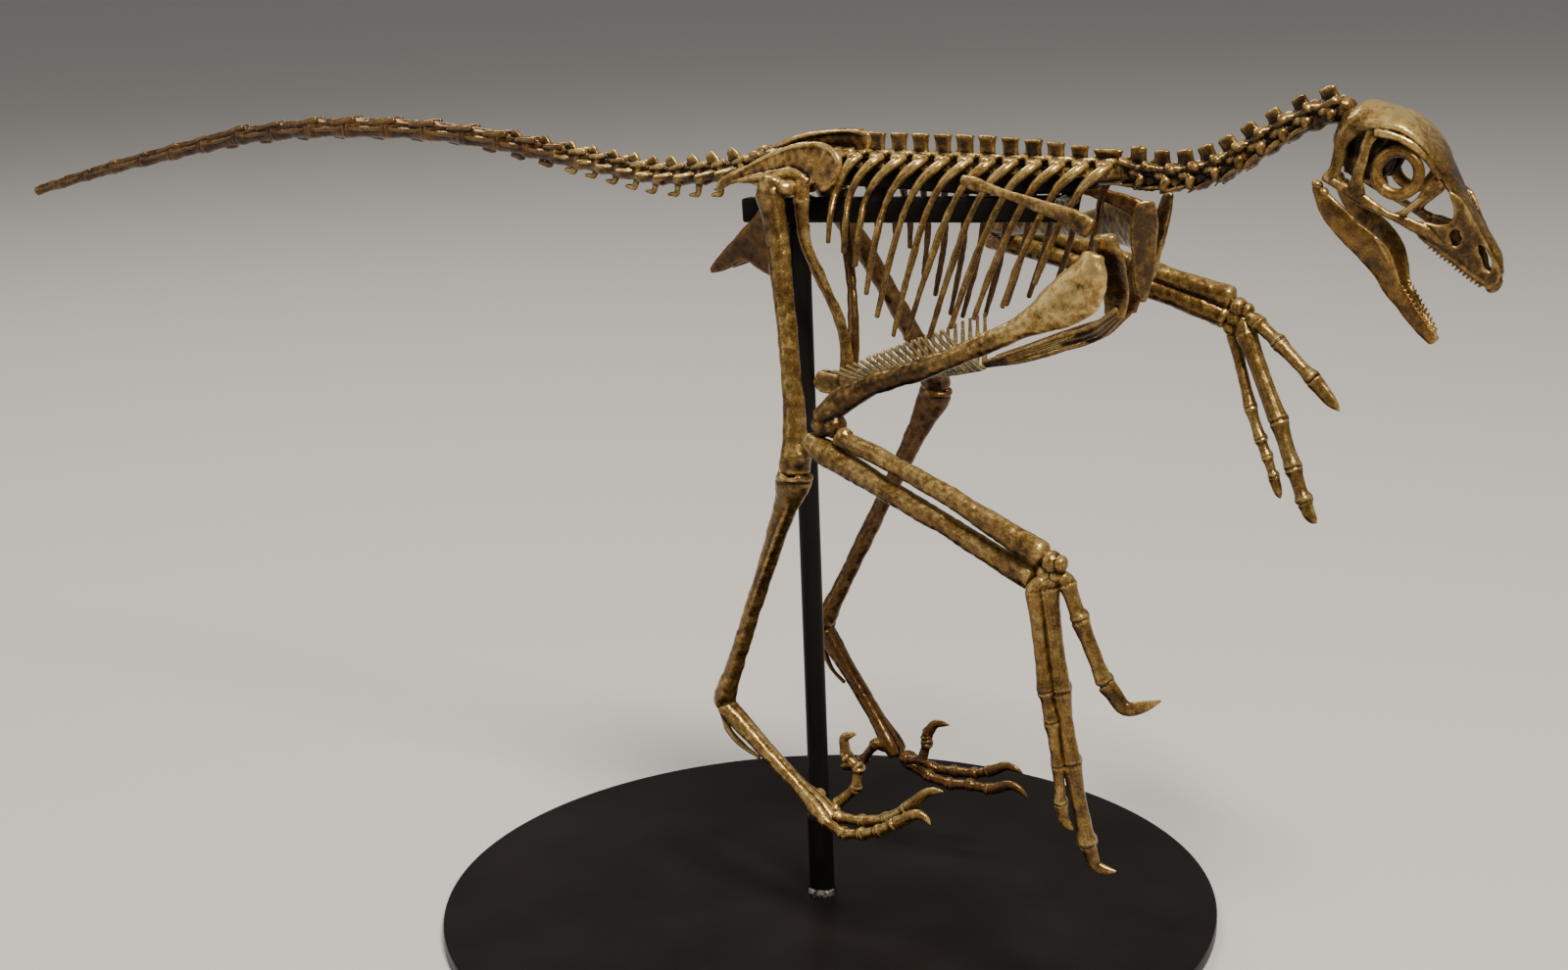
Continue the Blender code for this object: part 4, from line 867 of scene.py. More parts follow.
def tail_joints():
    lengths = [caudal_length(k) for k in range(CAUDAL_COUNT)]
    fine = along(midline(TAIL_PATH), 401)
    total = sum(lengths)
    joints, reached = [fine[0]], 0.0
    for length in lengths:
        reached += length
        joints.append(fine[round(400 * reached / total)])
    return joints


def caudal_radius(k):
    """The centra keep their girth to past the middle of the tail, and then thin out."""
    return 2.1 - 1.25 * max(0.0, (k - 15) / (CAUDAL_COUNT - 15)) ** 1.3


def add_caudal(tail, k, a, b):
    """One tail vertebra: waisted body, arms to the next one, spine, wings and chevron."""
    back = (b - a).normalized()
    upward = Vector((back.z, 0.0, -back.x))
    length = (b - a).length
    r = caudal_radius(k)

    def tube(path, sizes, **form):
        """A tube through places given as (share of the length, side, height)."""
        places = [a + back * (along_it * length) + Vector((0.0, out, 0.0)) + upward * up
                  for along_it, out, up in path]
        tail.tube(places, sizes, **form)

    tube(((0.04, 0, 0), (0.3, 0, 0), (0.65, 0, 0), (0.97, 0, 0)),
         ((r * 0.95, r * 1.0), (r * 0.75, r * 0.85), (r * 0.75, r * 0.85), (r * 0.95, r * 1.0)), sides=14)
    for side in (RIGHT, LEFT):
        tube(((0.4, side * r * 0.4, r * 0.5), (0.0, side * r * 0.6, r * 0.75),
              (-0.22, side * r * 0.62, r * 0.9)),
             ((0.34 * r, 0.3 * r), (0.3 * r, 0.32 * r), (0.22 * r, 0.28 * r)), sides=8)
        if k < LAST_WING:
            reach = 4.3 - 0.28 * k
            tube(((0.4, side * 0.5, 0.2), (0.55, side * reach * 0.6, 0.1), (0.9, side * reach, -0.1)),
                 ((1.15, 0.6), (0.95, 0.5), (0.55, 0.38)), across=back, sides=10)
        else:
            tube(((0.1, side * r * 0.62, 0.15), (0.5, side * r * 0.72, 0.1), (0.9, side * r * 0.62, 0.0)),
                 ((0.3 * r, 0.22 * r),) * 3, sides=8)
    if k < LAST_SPINE:
        rise = 1.7 + r - 0.13 * k
        tube(((0.4, 0, 0.5), (0.5, 0, rise - 0.8), (0.58, 0, rise - 0.2)),
             ((0.7, 1.6), (0.5, 1.15), (0.5, 0.95)), sides=12, square=3.0, blunt=0.3)
    else:
        tube(((0.15, 0, r * 0.75), (0.85, 0, r * 0.8)), ((0.3, 0.4), (0.3, 0.4)), sides=8)
    if 0 < k < LAST_CHEVRON:
        drop = (3.2 - 0.21 * k) if k < 12 else 0.6
        heel = a - upward * (r * 0.5) + back * 0.9
        toe = heel - upward * drop + back * 0.8
        foot = toe + back * (1.8 if k < LAST_WING else 2.6) - upward * 0.1
        tail.tube((heel, mix(heel, toe, 0.6), toe, mix(toe, foot, 0.6), foot),
                  ((0.6, 0.75), (0.5, 0.62), (0.48, 0.58), (0.42, 0.44), (0.3, 0.3)), sides=10, steps=3)


def make_tail(materials):
    joints = tail_joints()
    for name, (first, last) in TAIL_BREAKS.items():
        tail = Sculpt(name + "_bones")
        for k in range(first, last):
            add_caudal(tail, k, joints[k], joints[k + 1])
        tail.weld(0.17, materials["plain" if name == "tail_base" else "rust_and_shade"], [name], lumps=0.10)


# ---- skull and jaw ----
def crown_light_and_shade(points):
    """Painted highlight on the dome from the light above, browner on the bars and the snout, painted shade
    in the depths behind the bars.
    """
    x, y, z = points.T
    # painted highlight on the top of the dome
    crown = 0.34 * np.clip((14.0 - x) / 10.0, -0.4, 1.0) * np.clip((z - 8.6) / 2.5, 0.0, 1.0)
    # painted shade on the braincase wall behind the bars
    depth = np.clip((4.7 - np.abs(y)) / 0.8, 0.0, 1.0) * np.clip((9.0 - z) / 0.8, 0.0, 1.0)
    return crown - 0.02 - 0.6 * depth * np.clip(x, 0.0, 1.0) * np.clip(13.0 - x, 0.0, 1.0)


def make_skull(materials):
    """The roof and dome, the back of the skull and the braincase, and the two open sides."""
    skull = Sculpt("skull_bones", frame=SKULL_FRAME)
    # each row of the roof: X, the underside and the top on the midline, half width
    roof = ((-2.9, 5.6, 8.6, 3.1), (-2.0, 3.9, 10.3, 5.4), (0.2, 4.4, 11.9, 6.5), (2.6, 6.4, 12.8, 6.9),
            (5.2, 9.8, 13.6, 6.9), (8.6, 11.0, 13.5, 6.4), (12.1, 10.4, 12.7, 5.6), (15.0, 8.8, 11.4, 4.7),
            (18.1, 8.0, 9.9, 3.8), (22.4, 6.5, 8.2, 3.0), (26.8, 5.2, 6.9, 2.2), (30.1, 3.9, 5.6, 1.6),
            (32.4, 2.4, 3.6, 1.0))
    skull.tube([(x, 0.0, (low + top) / 2) for x, low, top, w in roof],
               [(w, (top - low) / 2) for x, low, top, w in roof], sides=28, steps=5, level=True, blunt=0.15)
    skull.tube(midline(((-1.9, 5.6), (-0.9, 3.2), (0.8, 1.6))), ((3.0, 1.5), (3.3, 1.5), (2.2, 1.1)))
    skull.tube(midline(((-1.0, 6.4), (3.0, 6.9), (4.8, 6.9), (7.2, 6.3))),
               ((3.7, 4.4), (3.5, 3.6), (2.6, 3.4), (0.9, 3.0)), sides=20, level=True, blunt=0.15)
    skull.ball((-2.9, 0, 7.0), 0.85)
    for side in (RIGHT, LEFT):
        add_skull_bars(skull, side)
        add_snout_side(skull, side)
    skull.ball((32.5, 0, 1.2), (1.2, 1.2, 1.6))
    skull.weld(0.135, materials["plain"], ["skull"], settle=3, lumps=0.09, light_and_tone=crown_light_and_shade)


def add_skull_bars(skull, side):
    """The bars round the openings of one side, from the back of the skull forward."""
    quadrate = ((-0.2, 5.7, 7.9), (-0.1, 5.8, 4.6), (1.2, 5.9, 2.0), (2.1, 6.0, -0.4), (1.9, 6.0, -1.7))
    jugal = ((1.4, 6.1, -1.9), (4.6, 6.4, -1.1), (8.0, 6.5, -0.5), (12.6, 6.0, 0.2), (15.6, 5.2, 0.9),
             (18.6, 4.4, 1.5), (22.6, 3.3, 1.6))
    postorbital = ((2.7, 6.1, 9.6), (3.4, 6.6, 7.0), (4.9, 6.8, 3.8), (5.8, 6.75, 1.6), (7.2, 6.6, -0.2))
    lacrimal = ((15.8, 4.2, 9.0), (15.5, 4.6, 7.8), (15.4, 4.9, 5.4), (14.8, 5.2, 1.6), (14.6, 5.3, 0.6))
    brow = ((3.4, 6.7, 9.2), (5.6, 6.6, 10.4), (9.0, 6.2, 11.2), (12.6, 5.3, 10.7), (15.4, 4.4, 9.6))
    inner_wall = ((1.2, 3.6, 5.6), (4.6, 3.9, 4.9), (7.8, 3.4, 5.0))
    for path, sizes in (
            (quadrate, ((0.75, 1.7), (0.65, 1.15), (0.6, 1.05), (0.7, 1.0), (0.95, 0.95))),
            (jugal, ((0.5, 0.55), (0.6, 0.8), (0.6, 0.95), (0.6, 0.65), (0.6, 0.8), (0.6, 1.0),
                     (0.3, 0.6))),
            (postorbital, ((0.65, 1.4), (0.6, 0.9), (0.6, 0.85), (0.6, 0.95), (0.55, 1.4))),
            (lacrimal, ((0.6, 1.1), (0.6, 0.8), (0.55, 0.7), (0.55, 0.75), (0.55, 1.3))),
            (brow, ((0.5, 0.7), (0.5, 0.6), (0.5, 0.6), (0.5, 0.6), (0.45, 0.5))),
            (inner_wall, ((0.5, 4.2), (0.5, 4.4), (0.45, 2.6)))):
        skull.tube(mirrored(side, path), sizes, sides=12)


def add_snout_side(skull, side):
    """The wall of the snout with its two holes, the edge below it and the upper teeth."""
    outline = ((18.4, 0.4), (22.0, 0.0), (27.0, 0.1), (31.0, 0.2), (32.8, 0.4), (33.3, 1.8), (32.5, 3.5),
               (29.8, 5.1), (24.0, 7.5), (18.8, 9.2), (18.0, 9.0), (20.0, 7.4), (21.0, 6.2), (21.2, 4.8),
               (20.4, 3.8), (18.6, 2.9), (17.2, 1.9))
    naris = ((27.0, 4.9), (28.0, 5.2), (29.6, 4.6), (30.8, 3.5), (31.2, 2.7), (30.4, 2.5), (28.9, 3.5),
             (27.5, 4.2))
    fenestra = ((22.5, 3.3), (22.5, 4.7), (23.5, 4.9), (24.3, 4.0), (24.5, 2.8), (23.7, 2.4))
    hinge = 17.4    # the wall turns in toward the midline from here
    turn = Matrix.Rotation(-side * math.radians(12.5), 4, "Z")
    start = Matrix.Translation((hinge, side * 4.3, 0.0)) @ turn
    place = start @ Matrix.Translation((-hinge, 0.0, 0.0)) @ Matrix.Rotation(math.pi / 2, 4, "X")
    skull.plate(outline, 0.8, place, holes=(naris, fenestra), edge=0.3, steps=4)
    skull.tube(mirrored(side, ((20.0, 3.7, 0.7), (26.0, 2.4, 0.7), (31.0, 1.3, 0.8))), ((0.5, 0.6),) * 3,
               sides=10)
    for k in range(UPPER_TEETH):
        x = 21.3 + 0.75 * k
        y = side * (3.7 - 0.222 * (x - 19.0))
        z = 0.15 + 0.01 * (x - 19.0)
        skull.tube(((x, y, z), (x + 0.05, y, z - 0.45), (x - 0.1, y, z - 0.85)), TOOTH_SIZES,
                   sides=8, steps=2)


def make_mandible(materials):
    """Both halves of the lower jaw with their teeth, widest under the cheeks."""
    jaw = Sculpt("mandible_bones", frame=SKULL_FRAME)
    # each row: X and Z of the bar's middle, its distance off the midline, half height
    profile = ((1.5, -3.9, 6.0, 0.75), (3.7, -4.7, 6.0, 1.35), (6.6, -5.4, 5.9, 1.9),
               (10.0, -5.9, 5.6, 2.1), (13.5, -6.2, 4.9, 2.3), (16.4, -6.9, 4.1, 2.35),
               (19.0, -8.1, 3.3, 1.85), (20.9, -9.3, 2.7, 1.6), (23.6, -10.1, 2.0, 1.4),
               (26.7, -11.1, 1.4, 1.2),
               (29.9, -11.9, 0.8, 1.0), (31.3, -12.2, 0.6, 0.75))
    for side in (RIGHT, LEFT):
        jaw.tube([(x, side * y, z) for x, z, y, h in profile], [(0.62, h) for x, z, y, h in profile],
                 sides=18)
        jaw.ball((1.3, side * 5.9, -3.5), (0.95, 1.0, 0.75))
        jaw.ball((2.9, side * 6.0, -3.6), (0.7, 0.8, 0.6))
        lip = ((14.0, 4.9, -4.3), (17.2, 4.1, -5.6), (19.6, 3.2, -7.4))
        jaw.tube(mirrored(side, lip), (0.4, 0.5, 0.4), sides=10)
        for k in range(LOWER_TEETH):
            x = 20.3 + 0.82 * k
            y = side * (2.85 - 0.2 * (x - 20.3))
            z = -8.1 - 0.31 * (x - 20.3)
            jaw.tube(((x, y, z - 0.3), (x + 0.1, y, z + 0.35), (x + 0.05, y, z + 0.8)), TOOTH_SIZES,
                     sides=8, steps=2)
    jaw.weld(0.135, materials["ochre"], ["mandible"], settle=3, lumps=0.08)


def make_eye_ring(side, materials):
    ring = Sculpt("eye_ring_" + SIDE_NAME[side] + "_bone", frame=SKULL_FRAME)
    ring.ring((10.0, side * 5.5, 6.2), 3.42, 0.95, 0.82)
    ring.weld(0.13, materials["ochre"], ["eye_ring_" + SIDE_NAME[side]], lumps=0.07)


# ---- girdles ----
def blade_lightness(points):
    """The hip blade is lighter all over, most of all toward its upper edge."""
    return 0.07 + 0.012 * np.clip(points[:, 2] - 146.0, -3.0, 6.0)


def leaning(side, out, height, degrees):
    """Lean a side's plate round a fore-and-aft line, out from the midline at the given height."""
    pivot = Vector((0.0, side * out, height))
    lean = Matrix.Rotation(side * math.radians(degrees), 4, "X")
    return Matrix.Translation(pivot) @ lean @ Matrix.Translation(-pivot)


def make_ilium(side, materials):
    """The hip blade with its raised edge and the rim over the hip joint."""
    name = SIDE_NAME[side]
    ilium = Sculpt("ilium_bone_" + name)
    outline = ((-17.0, 143.1), (-12.3, 144.3), (-9.2, 144.4), (-6.4, 143.3), (-5.6, 141.4), (-3.8, 141.5),
               (-3.0, 144.2), (-1.4, 145.4), (-0.1, 144.4), (0.3, 141.8), (2.9, 141.9), (3.3, 144.8),
               (4.4, 145.0), (5.4, 143.7), (7.4, 144.4), (8.9, 147.2), (8.7, 149.9), (5.6, 152.2),
               (1.3, 152.3), (-5.9, 150.1), (-10.5, 147.7), (-16.6, 144.0))
    tilt = leaning(side, 7.2, 143.0, 14.0)
    ilium.plate(outline, 1.0, tilt @ xz_place(side * 7.2), edge=0.35, steps=4)
    upper_edge = ((-15.5, 144.2), (-10.3, 147.2), (-5.7, 149.5), (1.3, 151.7), (5.4, 151.5), (8.1, 149.6),
                  (8.3, 147.4))
    hip_rim = ((-13.0, 144.6), (-9.5, 145.3), (-4.0, 146.2), (0.0, 146.6), (2.6, 145.4))
    front_stem = ((1.6, 145.6), (1.6, 143.6), (1.6, 141.6))
    for points, out, sizes in ((upper_edge, 7.2, (0.5, 0.6, 0.6, 0.65, 0.6, 0.6, 0.5)),
                               (hip_rim, 7.4, (0.4, 0.7, 1.0, 1.1, 0.8)),
                               (front_stem, 7.5, ((0.8, 1.3), (0.9, 1.3), (1.0, 1.5)))):
        ilium.tube([tilt @ Vector((x, side * out, z)) for x, z in points], sizes, sides=12)
    # the far blade takes the browner, darker copy as painted shade
    shade = materials["ochre" if side == RIGHT else "rust_and_shade"]
    ilium.weld(0.16, shade, ["ilium_" + name], lumps=0.12, light_and_tone=blade_lightness)


def make_pelvis(side, materials):
    """One side of the hip: blade, ischium, and pubis with its boot."""
    name = SIDE_NAME[side]
    make_ilium(side, materials)
    ischium = Sculpt("ischium_bone_" + name)
    outline = ((-6.2, 141.2), (-8.6, 138.5), (-11.1, 136.3), (-20.2, 126.4), (-16.0, 127.7), (-12.0, 129.5),
               (-8.8, 127.4), (-6.2, 126.2), (-6.3, 131.0), (-4.7, 136.0), (-4.0, 141.2))
    ischium.plate(outline, 0.9, leaning(side, 7.0, 141.0, -13.0) @ xz_place(side * 7.0), edge=0.35, steps=4)
    ischium.weld(0.18, materials["rust_and_shade"], ["ischium_" + name], lumps=0.12)
    pubis = Sculpt("pubis_bone_" + name)
    shaft = ((1.6, 7.5, 142.0), (1.7, 7.5, 139.6), (2.4, 7.7, 134.6), (4.4, 5.6, 127.2), (6.3, 2.9, 120.2),
             (7.0, 1.4, 113.0), (6.7, 1.1, 107.2))
    sizes = ((1.1, 1.7), (0.9, 1.3), (0.8, 1.1), (0.75, 1.05), (0.75, 1.05), (0.8, 1.15), (0.75, 1.5))
    pubis.tube(mirrored(side, shaft), sizes, sides=14)
    boot = ((-0.4, 107.0), (0.5, 105.6), (4.5, 105.1), (7.2, 106.2), (7.4, 109.2), (4.6, 108.6),
            (0.0, 108.6))
    pubis.plate(boot, 1.1, xz_place(side * 0.8), edge=0.4, steps=4)
    pubis.weld(0.18, materials[SIDE_SHADE[side]], ["pubis_" + name], lumps=0.10)


def make_shoulder(side, materials):
    """One side's shoulder blade and coracoid."""
    name = SIDE_NAME[side]
    shade = materials[SIDE_SHADE[side]]
    scapula = Sculpt("scapula_bone_" + name)
    path = ((34.6, 9.0, 147.1), (35.6, 9.2, 146.9), (41.0, 9.9, 145.7), (47.0, 10.5, 144.3),
            (53.5, 11.0, 142.5), (57.5, 11.3, 141.1), (59.4, 11.5, 140.2))
    sizes = ((0.5, 0.7), (0.65, 1.0), (0.6, 0.75), (0.6, 0.9), (0.65, 1.2), (0.8, 1.65), (0.85, 1.75))
    scapula.tube(mirrored(side, path), sizes, sides=20, square=2.4, blunt=0.2)
    scapula.weld(0.15, shade, ["scapula_" + name], lumps=0.13)
    coracoid = Sculpt("coracoid_bone_" + name)
    path = ((62.0, 11.4, 138.9), (62.2, 10.9, 137.0), (62.3, 8.9, 134.2), (61.6, 5.6, 130.2),
            (60.8, 3.2, 126.0), (60.4, 3.0, 124.0))
    sizes = ((2.0, 1.0), (2.3, 1.0), (2.4, 0.85), (2.4, 0.75), (2.2, 0.7), (1.9, 0.6))
    coracoid.tube(mirrored(side, path), sizes, sides=20, across=ALONG_X, square=2.4, blunt=0.3)
    coracoid.weld(0.16, shade, ["coracoid_" + name], lumps=0.11)


def make_sternum(side, materials):
    """One side's breast plate: a thin sheet in front that splits into rods running back."""
    name = SIDE_NAME[side]
    plate = Sculpt("sternal_bone_" + name)
    path = ((61.4, 3.2, 124.6), (57.5, 3.4, 121.2), (51.0, 3.6, 118.6), (42.0, 3.4, 115.3),
            (35.6, 2.4, 113.4))
    across = (0.0, side * 0.78, 0.62)
    plate.tube(mirrored(side, path[:3]), ((1.6, 0.3), (2.0, 0.3), (1.0, 0.3)), sides=16, across=across)
    for edge in (-1.0, -0.35, 0.3, 0.95):
        rod = [Vector((x, side * y, z)) + Vector(across) * edge * w
               for (x, y, z), w in zip(path, (1.4, 2.2, 2.3, 1.7, 0.7))]
        plate.tube(rod, (0.45, 0.4, 0.36, 0.36, 0.34), sides=9)
    plate.weld(0.14, materials[SIDE_SHADE[side]], ["sternal_plate_" + name], lumps=0.06)


def make_furcula(materials):
    """Two thin blades that stand up from a short keel, each facing forward and outward."""
    furcula = Sculpt("furcula_bone")
    blade = ((64.6, 0.2, 127.4), (65.1, 1.3, 130.6), (65.7, 2.8, 135.4), (66.4, 4.6, 141.0),
             (66.8, 5.5, 144.0))
    sizes = ((1.05, 0.5), (1.85, 0.5), (2.25, 0.52), (2.4, 0.5), (1.7, 0.42))
    for side in (RIGHT, LEFT):
        furcula.tube(mirrored(side, blade), sizes, sides=18, across=(0.75, side * -0.66, 0.0))
    furcula.tube(((64.6, 0, 128.6), (64.5, 0, 126.5)), ((0.95, 0.95), (0.65, 0.65)))
    furcula.weld(0.15, materials["plain"], ["furcula"], lumps=0.12)


def make_gastralia(side, materials):
    """The comb of thin belly ribs, joined along the midline."""
    comb = Sculpt("belly_ribs_" + SIDE_NAME[side])
    keel = ((9.2, 0.85, 108.5), (20.0, 0.85, 109.6), (29.0, 0.85, 111.0), (34.2, 0.85, 112.1))
    comb.tube(mirrored(side, keel), (0.45, 0.48, 0.48, 0.4), sides=10)
    for k in range(BELLY_RIB_COUNT):
        t = k / (BELLY_RIB_COUNT - 1)
        x = 10.0 + 24.0 * t
        z = 108.6 + 3.5 * t
        tip = Vector((x - 2.6 - 1.0 * t, side * (7.0 + 2.0 * t), z + 2.2 + 6.0 * t))
        root = Vector((x, side * 0.9, z))
        sag = mix(root, tip, 0.5) + Vector((0, side * 0.3, -0.3))
        comb.tube((root, sag, tip), (0.45, 0.38, 0.3), sides=9, across=ALONG_X)
    comb.weld(0.15, materials["grey"], ["gastralia_" + SIDE_NAME[side]], lumps=0.05)


# ---- limbs ----
def make_femur(side, shade):
    """The thigh bone: shaft bowed back, round head, side crest and a pair of knobs at the knee."""
    femur = Sculpt("femur_bone_" + SIDE_NAME[side])
    hip = Vector((HIP_X, side * HIP_HALF_WIDTH, HIP_Z))
    knee = Vector(KNEE[side])
    down = (knee - hip).normalized()
    bow = Vector((-1.6, 0.0, 0.0))
    path = [hip + Vector((-1.4, side * 0.6, 2.4)), hip + Vector((-1.8, side * 0.8, 0.4)),
            mix(hip, knee, 0.1) + bow, mix(hip, knee, 0.35) + bow * 0.5, mix(hip, knee, 0.7),
            knee - down * 5.2, knee - down * 2.4, knee + down * 0.4]
    sizes = ((1.3, 1.8), (1.85, 2.5), (1.85, 2.3), (1.85, 1.9), (1.85, 1.85), (2.2, 2.4), (2.6, 2.8),
             (2.3, 2.2))
    femur.tube(path, sizes, sides=22, blunt=0.3)
    head = (hip + Vector((-0.8, side * 0.4, 0.8)), hip + Vector((1.3, 0.0, 0.4)),
            hip + Vector((1.5, -side * 1.4, 0.4)))
    femur.tube(head, (1.6, 1.3, 1.3))
    crest = [p + Vector((1.1, side * 0.9, 0.0)) for p in path[1:4]]
    femur.tube(crest, (0.9, 0.8, 0.5), sides=12)
    for out in (-1.0, 1.0):
        femur.ball(knee - down * 1.2 + Vector((-0.9, out * 1.35, 0.0)), (2.0, 1.2, 1.9))
        femur.ball(knee - down * 2.4 + Vector((1.3, out * 1.2, 0.0)), (1.3, 1.0, 1.7))
    femur.weld(0.2, shade, ["femur_" + SIDE_NAME[side]], settle=3, lumps=0.12)


def make_shin(side, shade):
    """The shin bone with its rimmed upper end, front crest and the thin fibula along its outside."""
    name = SIDE_NAME[side]
    knee, ankle = Vector(KNEE[side]), Vector(ANKLE[side])
    down = (ankle - knee).normalized()
    tibia = Sculpt("tibia_bone_" + name)
    top = knee + down * 1.1
    front = Vector((1.0, 0.0, 0.35)).normalized()
    path = [top, top + down * 1.6, top + down * 6.6, mix(knee, ankle, 0.3), mix(knee, ankle, 0.65),
            ankle - down * 4.9, ankle - down * 2.0, ankle - down * 0.4]
    sizes = ((2.5, 3.3), (2.5, 3.3), (1.9, 2.4), (1.6, 1.85), (1.5, 1.65), (1.85, 1.85), (2.1, 2.1),
             (1.9, 1.8))
    tibia.tube(path, sizes, sides=22, blunt=0.12)
    rim_middle = top + down * 0.5
    angles = np.radians(range(0, 361, 30))
    rim = [rim_middle + Vector((3.0 * math.cos(a), 2.3 * math.sin(a), 0.0)) for a in angles]
    tibia.tube(rim, (0.5,) * len(rim), across=ALONG_Z, sides=10)
    crest = (top + down * 0.6 + front * 2.5, top + down * 3.4 + front * 2.2, top + down * 9.5 + front * 1.0)
    tibia.tube(crest, ((0.7, 0.8), (0.6, 0.9), (0.5, 0.6)), sides=12)
    outside = Vector((0.0, side * 1.5, 0.0))
    fibula = [top + down * 0.8 + outside + front * 2.3, top + down * 5.0 + outside + front * 1.7,
              mix(knee, ankle, 0.32) + outside + front * 0.8, mix(knee, ankle, 0.62) + outside * 0.8]
    tibia.tube(fibula, (0.95, 0.65, 0.5, 0.3), sides=12)
    for out in (-0.9, 0.9):
        tibia.ball(ankle - down * 0.9 + Vector((0.2, out, 0.0)), (2.0, 1.1, 1.9))
    tibia.weld(0.2, shade, ["tibia_" + name], settle=3, lumps=0.11)


def make_metatarsus(side, shade):
    """Three long foot bones side by side, with a thin splint bowed out behind the ankle."""
    bone = Sculpt("metatarsal_bones_" + SIDE_NAME[side])
    ankle, foot = Vector(ANKLE[side]), Vector(FOOT[side])
    down = (foot - ankle).normalized()
    top = ankle + down * 1.5
    behind = Vector((down.z, 0.0, -down.x))
    for out in (-1.0, 0.0, 1.0):
        middle = out == 0.0
        shift = Vector((0.0, out, 0.0))
        ends = shift * (1.15 if middle else 1.6)
        lift = behind * (-0.2 if middle else 0.1)
        path = (top + shift * 0.9, mix(ankle, foot, 0.4) + shift * 0.7 + lift,
                mix(ankle, foot, 0.75) + shift * 0.85 + lift, foot - down * 1.6 + ends + lift,
                foot - down * (-0.2 if middle else 0.5) + ends + lift)
        bone.tube(path, ((1.2, 1.65), (1.05, 1.3), (1.05, 1.25), (1.15, 1.4), (1.1, 1.2)), sides=14)
    bone.ball(top + down * 0.1, (2.0, 2.1, 1.7))
    outward = Vector((0, side * 0.8, 0))
    splint = [top + behind * 0.9 + outward, mix(ankle, foot, 0.12) + behind * 2.7 + outward,
              mix(ankle, foot, 0.27) + behind * 3.5, mix(ankle, foot, 0.4) + behind * 2.6]
    bone.tube(splint, (0.8, 0.6, 0.5, 0.4), sides=10)
    bone.weld(0.17, shade, ["metatarsus_" + SIDE_NAME[side]], lumps=0.09)


def make_digit(node, joints, radii, claw, shade, base):
    """Spool-shaped finger or toe bones with round joints, and a curved claw on the last."""
    digit = Sculpt(node + "_bones")
    joints = [Vector(j) for j in joints]
    near_base = joints[0].lerp(Vector(base), 0.4)
    digit.tube((near_base, joints[0], mix(joints[0], joints[1], 0.15)),
               (radii[0] * 0.85, radii[0], radii[0] * 0.8), sides=14, blunt=0.6)
    for k, (a, b) in enumerate(zip(joints[:-3], joints[1:-2])):
        r, way = radii[k], (b - a).normalized()
        end = radii[min(k + 1, len(radii) - 1)]
        path = (a + way * r * 0.3, a.lerp(b, 0.16), a.lerp(b, 0.5), a.lerp(b, 0.82), b - way * end * 0.3)
        digit.tube(path, (r * 1.1, r * 0.95, r * 0.82, r * 0.88, end * 1.08), sides=16, blunt=0.6)
        side_way = way.cross(Vector((0.0, 1.0, 0.0))).cross(way).normalized()
        digit.ball(b - way * end * 0.25 + side_way * end * 0.45, (end * 1.02,) * 3)
    root, bend, tip = joints[-3:]
    start = (bend - root).normalized()
    arch = (bend - root) * 0.14
    path = (root + start * radii[-1] * 0.3, root.lerp(bend, 0.4), bend + arch,
            bend.lerp(tip, 0.55) + arch, tip)
    sizes = [(claw * wide, claw * high) for wide, high in CLAW_TAPER]
    digit.tube(path, (*sizes, CLAW_TIP), sides=14, blunt=0.3)
    digit.weld(0.13, shade, [node], lumps=0.06)


def shaft_lightness(points):
    """Palest on the broad crest by the shoulder, browner at the elbow."""
    return 0.06 + 0.24 * np.clip((points[:, 0] - 42.0) / 12.0, -1.0, 1.0)


def raised(course, rises):
    """The course with each point lifted by its own amount."""
    return [Vector(p) + Vector((0.0, 0.0, rise)) for p, rise in zip(course, rises)]


def make_arm(side, materials):
    """Upper arm with its broad crest and elbow knobs, the two forearm bones, and the wrist."""
    name = SIDE_NAME[side]
    shade = materials["plain"]
    humerus = Sculpt("humerus_bone_" + name)
    course = HUMERUS_COURSE[side]
    sizes = ((1.2, 2.0), (1.6, 3.3), (1.7, 4.4), (1.8, 3.9), (1.75, 2.3), (1.7, 1.8), (1.7, 1.75),
             (1.75, 1.9), (2.2, 2.3), (2.2, 2.1))
    humerus.tube(course, sizes, sides=24, blunt=0.3)
    for shift, size in ELBOW_KNOBS:
        humerus.ball(Vector(course[-1]) + Vector(shift), (size, 2.3, size))
    humerus.weld(0.19, shade, ["humerus_" + name], settle=5, lumps=0.14,
                 light_and_tone=shaft_lightness if side == RIGHT else None)
    ulna = Sculpt("ulna_bone_" + name)
    sizes = ((1.5, 1.5), (2.05, 2.05), (2.05, 2.05), (1.85, 1.95), (2.0, 2.15), (2.0, 2.3))
    ulna.tube(raised(ULNA_COURSE[side], ULNA_RISES[side]), sizes, sides=20, blunt=0.5)
    ulna.weld(0.18, shade, ["ulna_" + name], settle=3, lumps=0.12)
    radius = Sculpt("radius_bone_" + name)
    sizes = (1.6, 1.6, 1.6, (2.0, 2.15), (2.2, 2.4))
    radius.tube(raised(RADIUS_COURSE[side], RADIUS_RISES), sizes, sides=20, blunt=0.5)
    radius.ball(Vector(RADIUS_COURSE[side][0]) + Vector((0.9, 0.0, 0.2)), 1.75)
    radius.weld(0.18, shade, ["radius_" + name], settle=3, lumps=0.12)
    carpus = Sculpt("wrist_bones_" + name)
    wrist = Vector(WRIST[side])
    spread_way = (Vector(RADIUS_COURSE[side][-1]) - Vector(ULNA_COURSE[side][-1])).normalized()
    inward = (Vector(ULNA_COURSE[side][-2]) - wrist).normalized()
    for reach, back, size in CARPALS:
        carpus.ball(wrist + spread_way * reach + inward * back, (size * 0.9, size * 1.05, size))
    carpus.ball(wrist + Vector((-1.4, 0.2, -2.3)), (1.7, 1.6, 1.4))
    carpus.weld(0.13, shade, ["wrist_" + name], lumps=0.09)


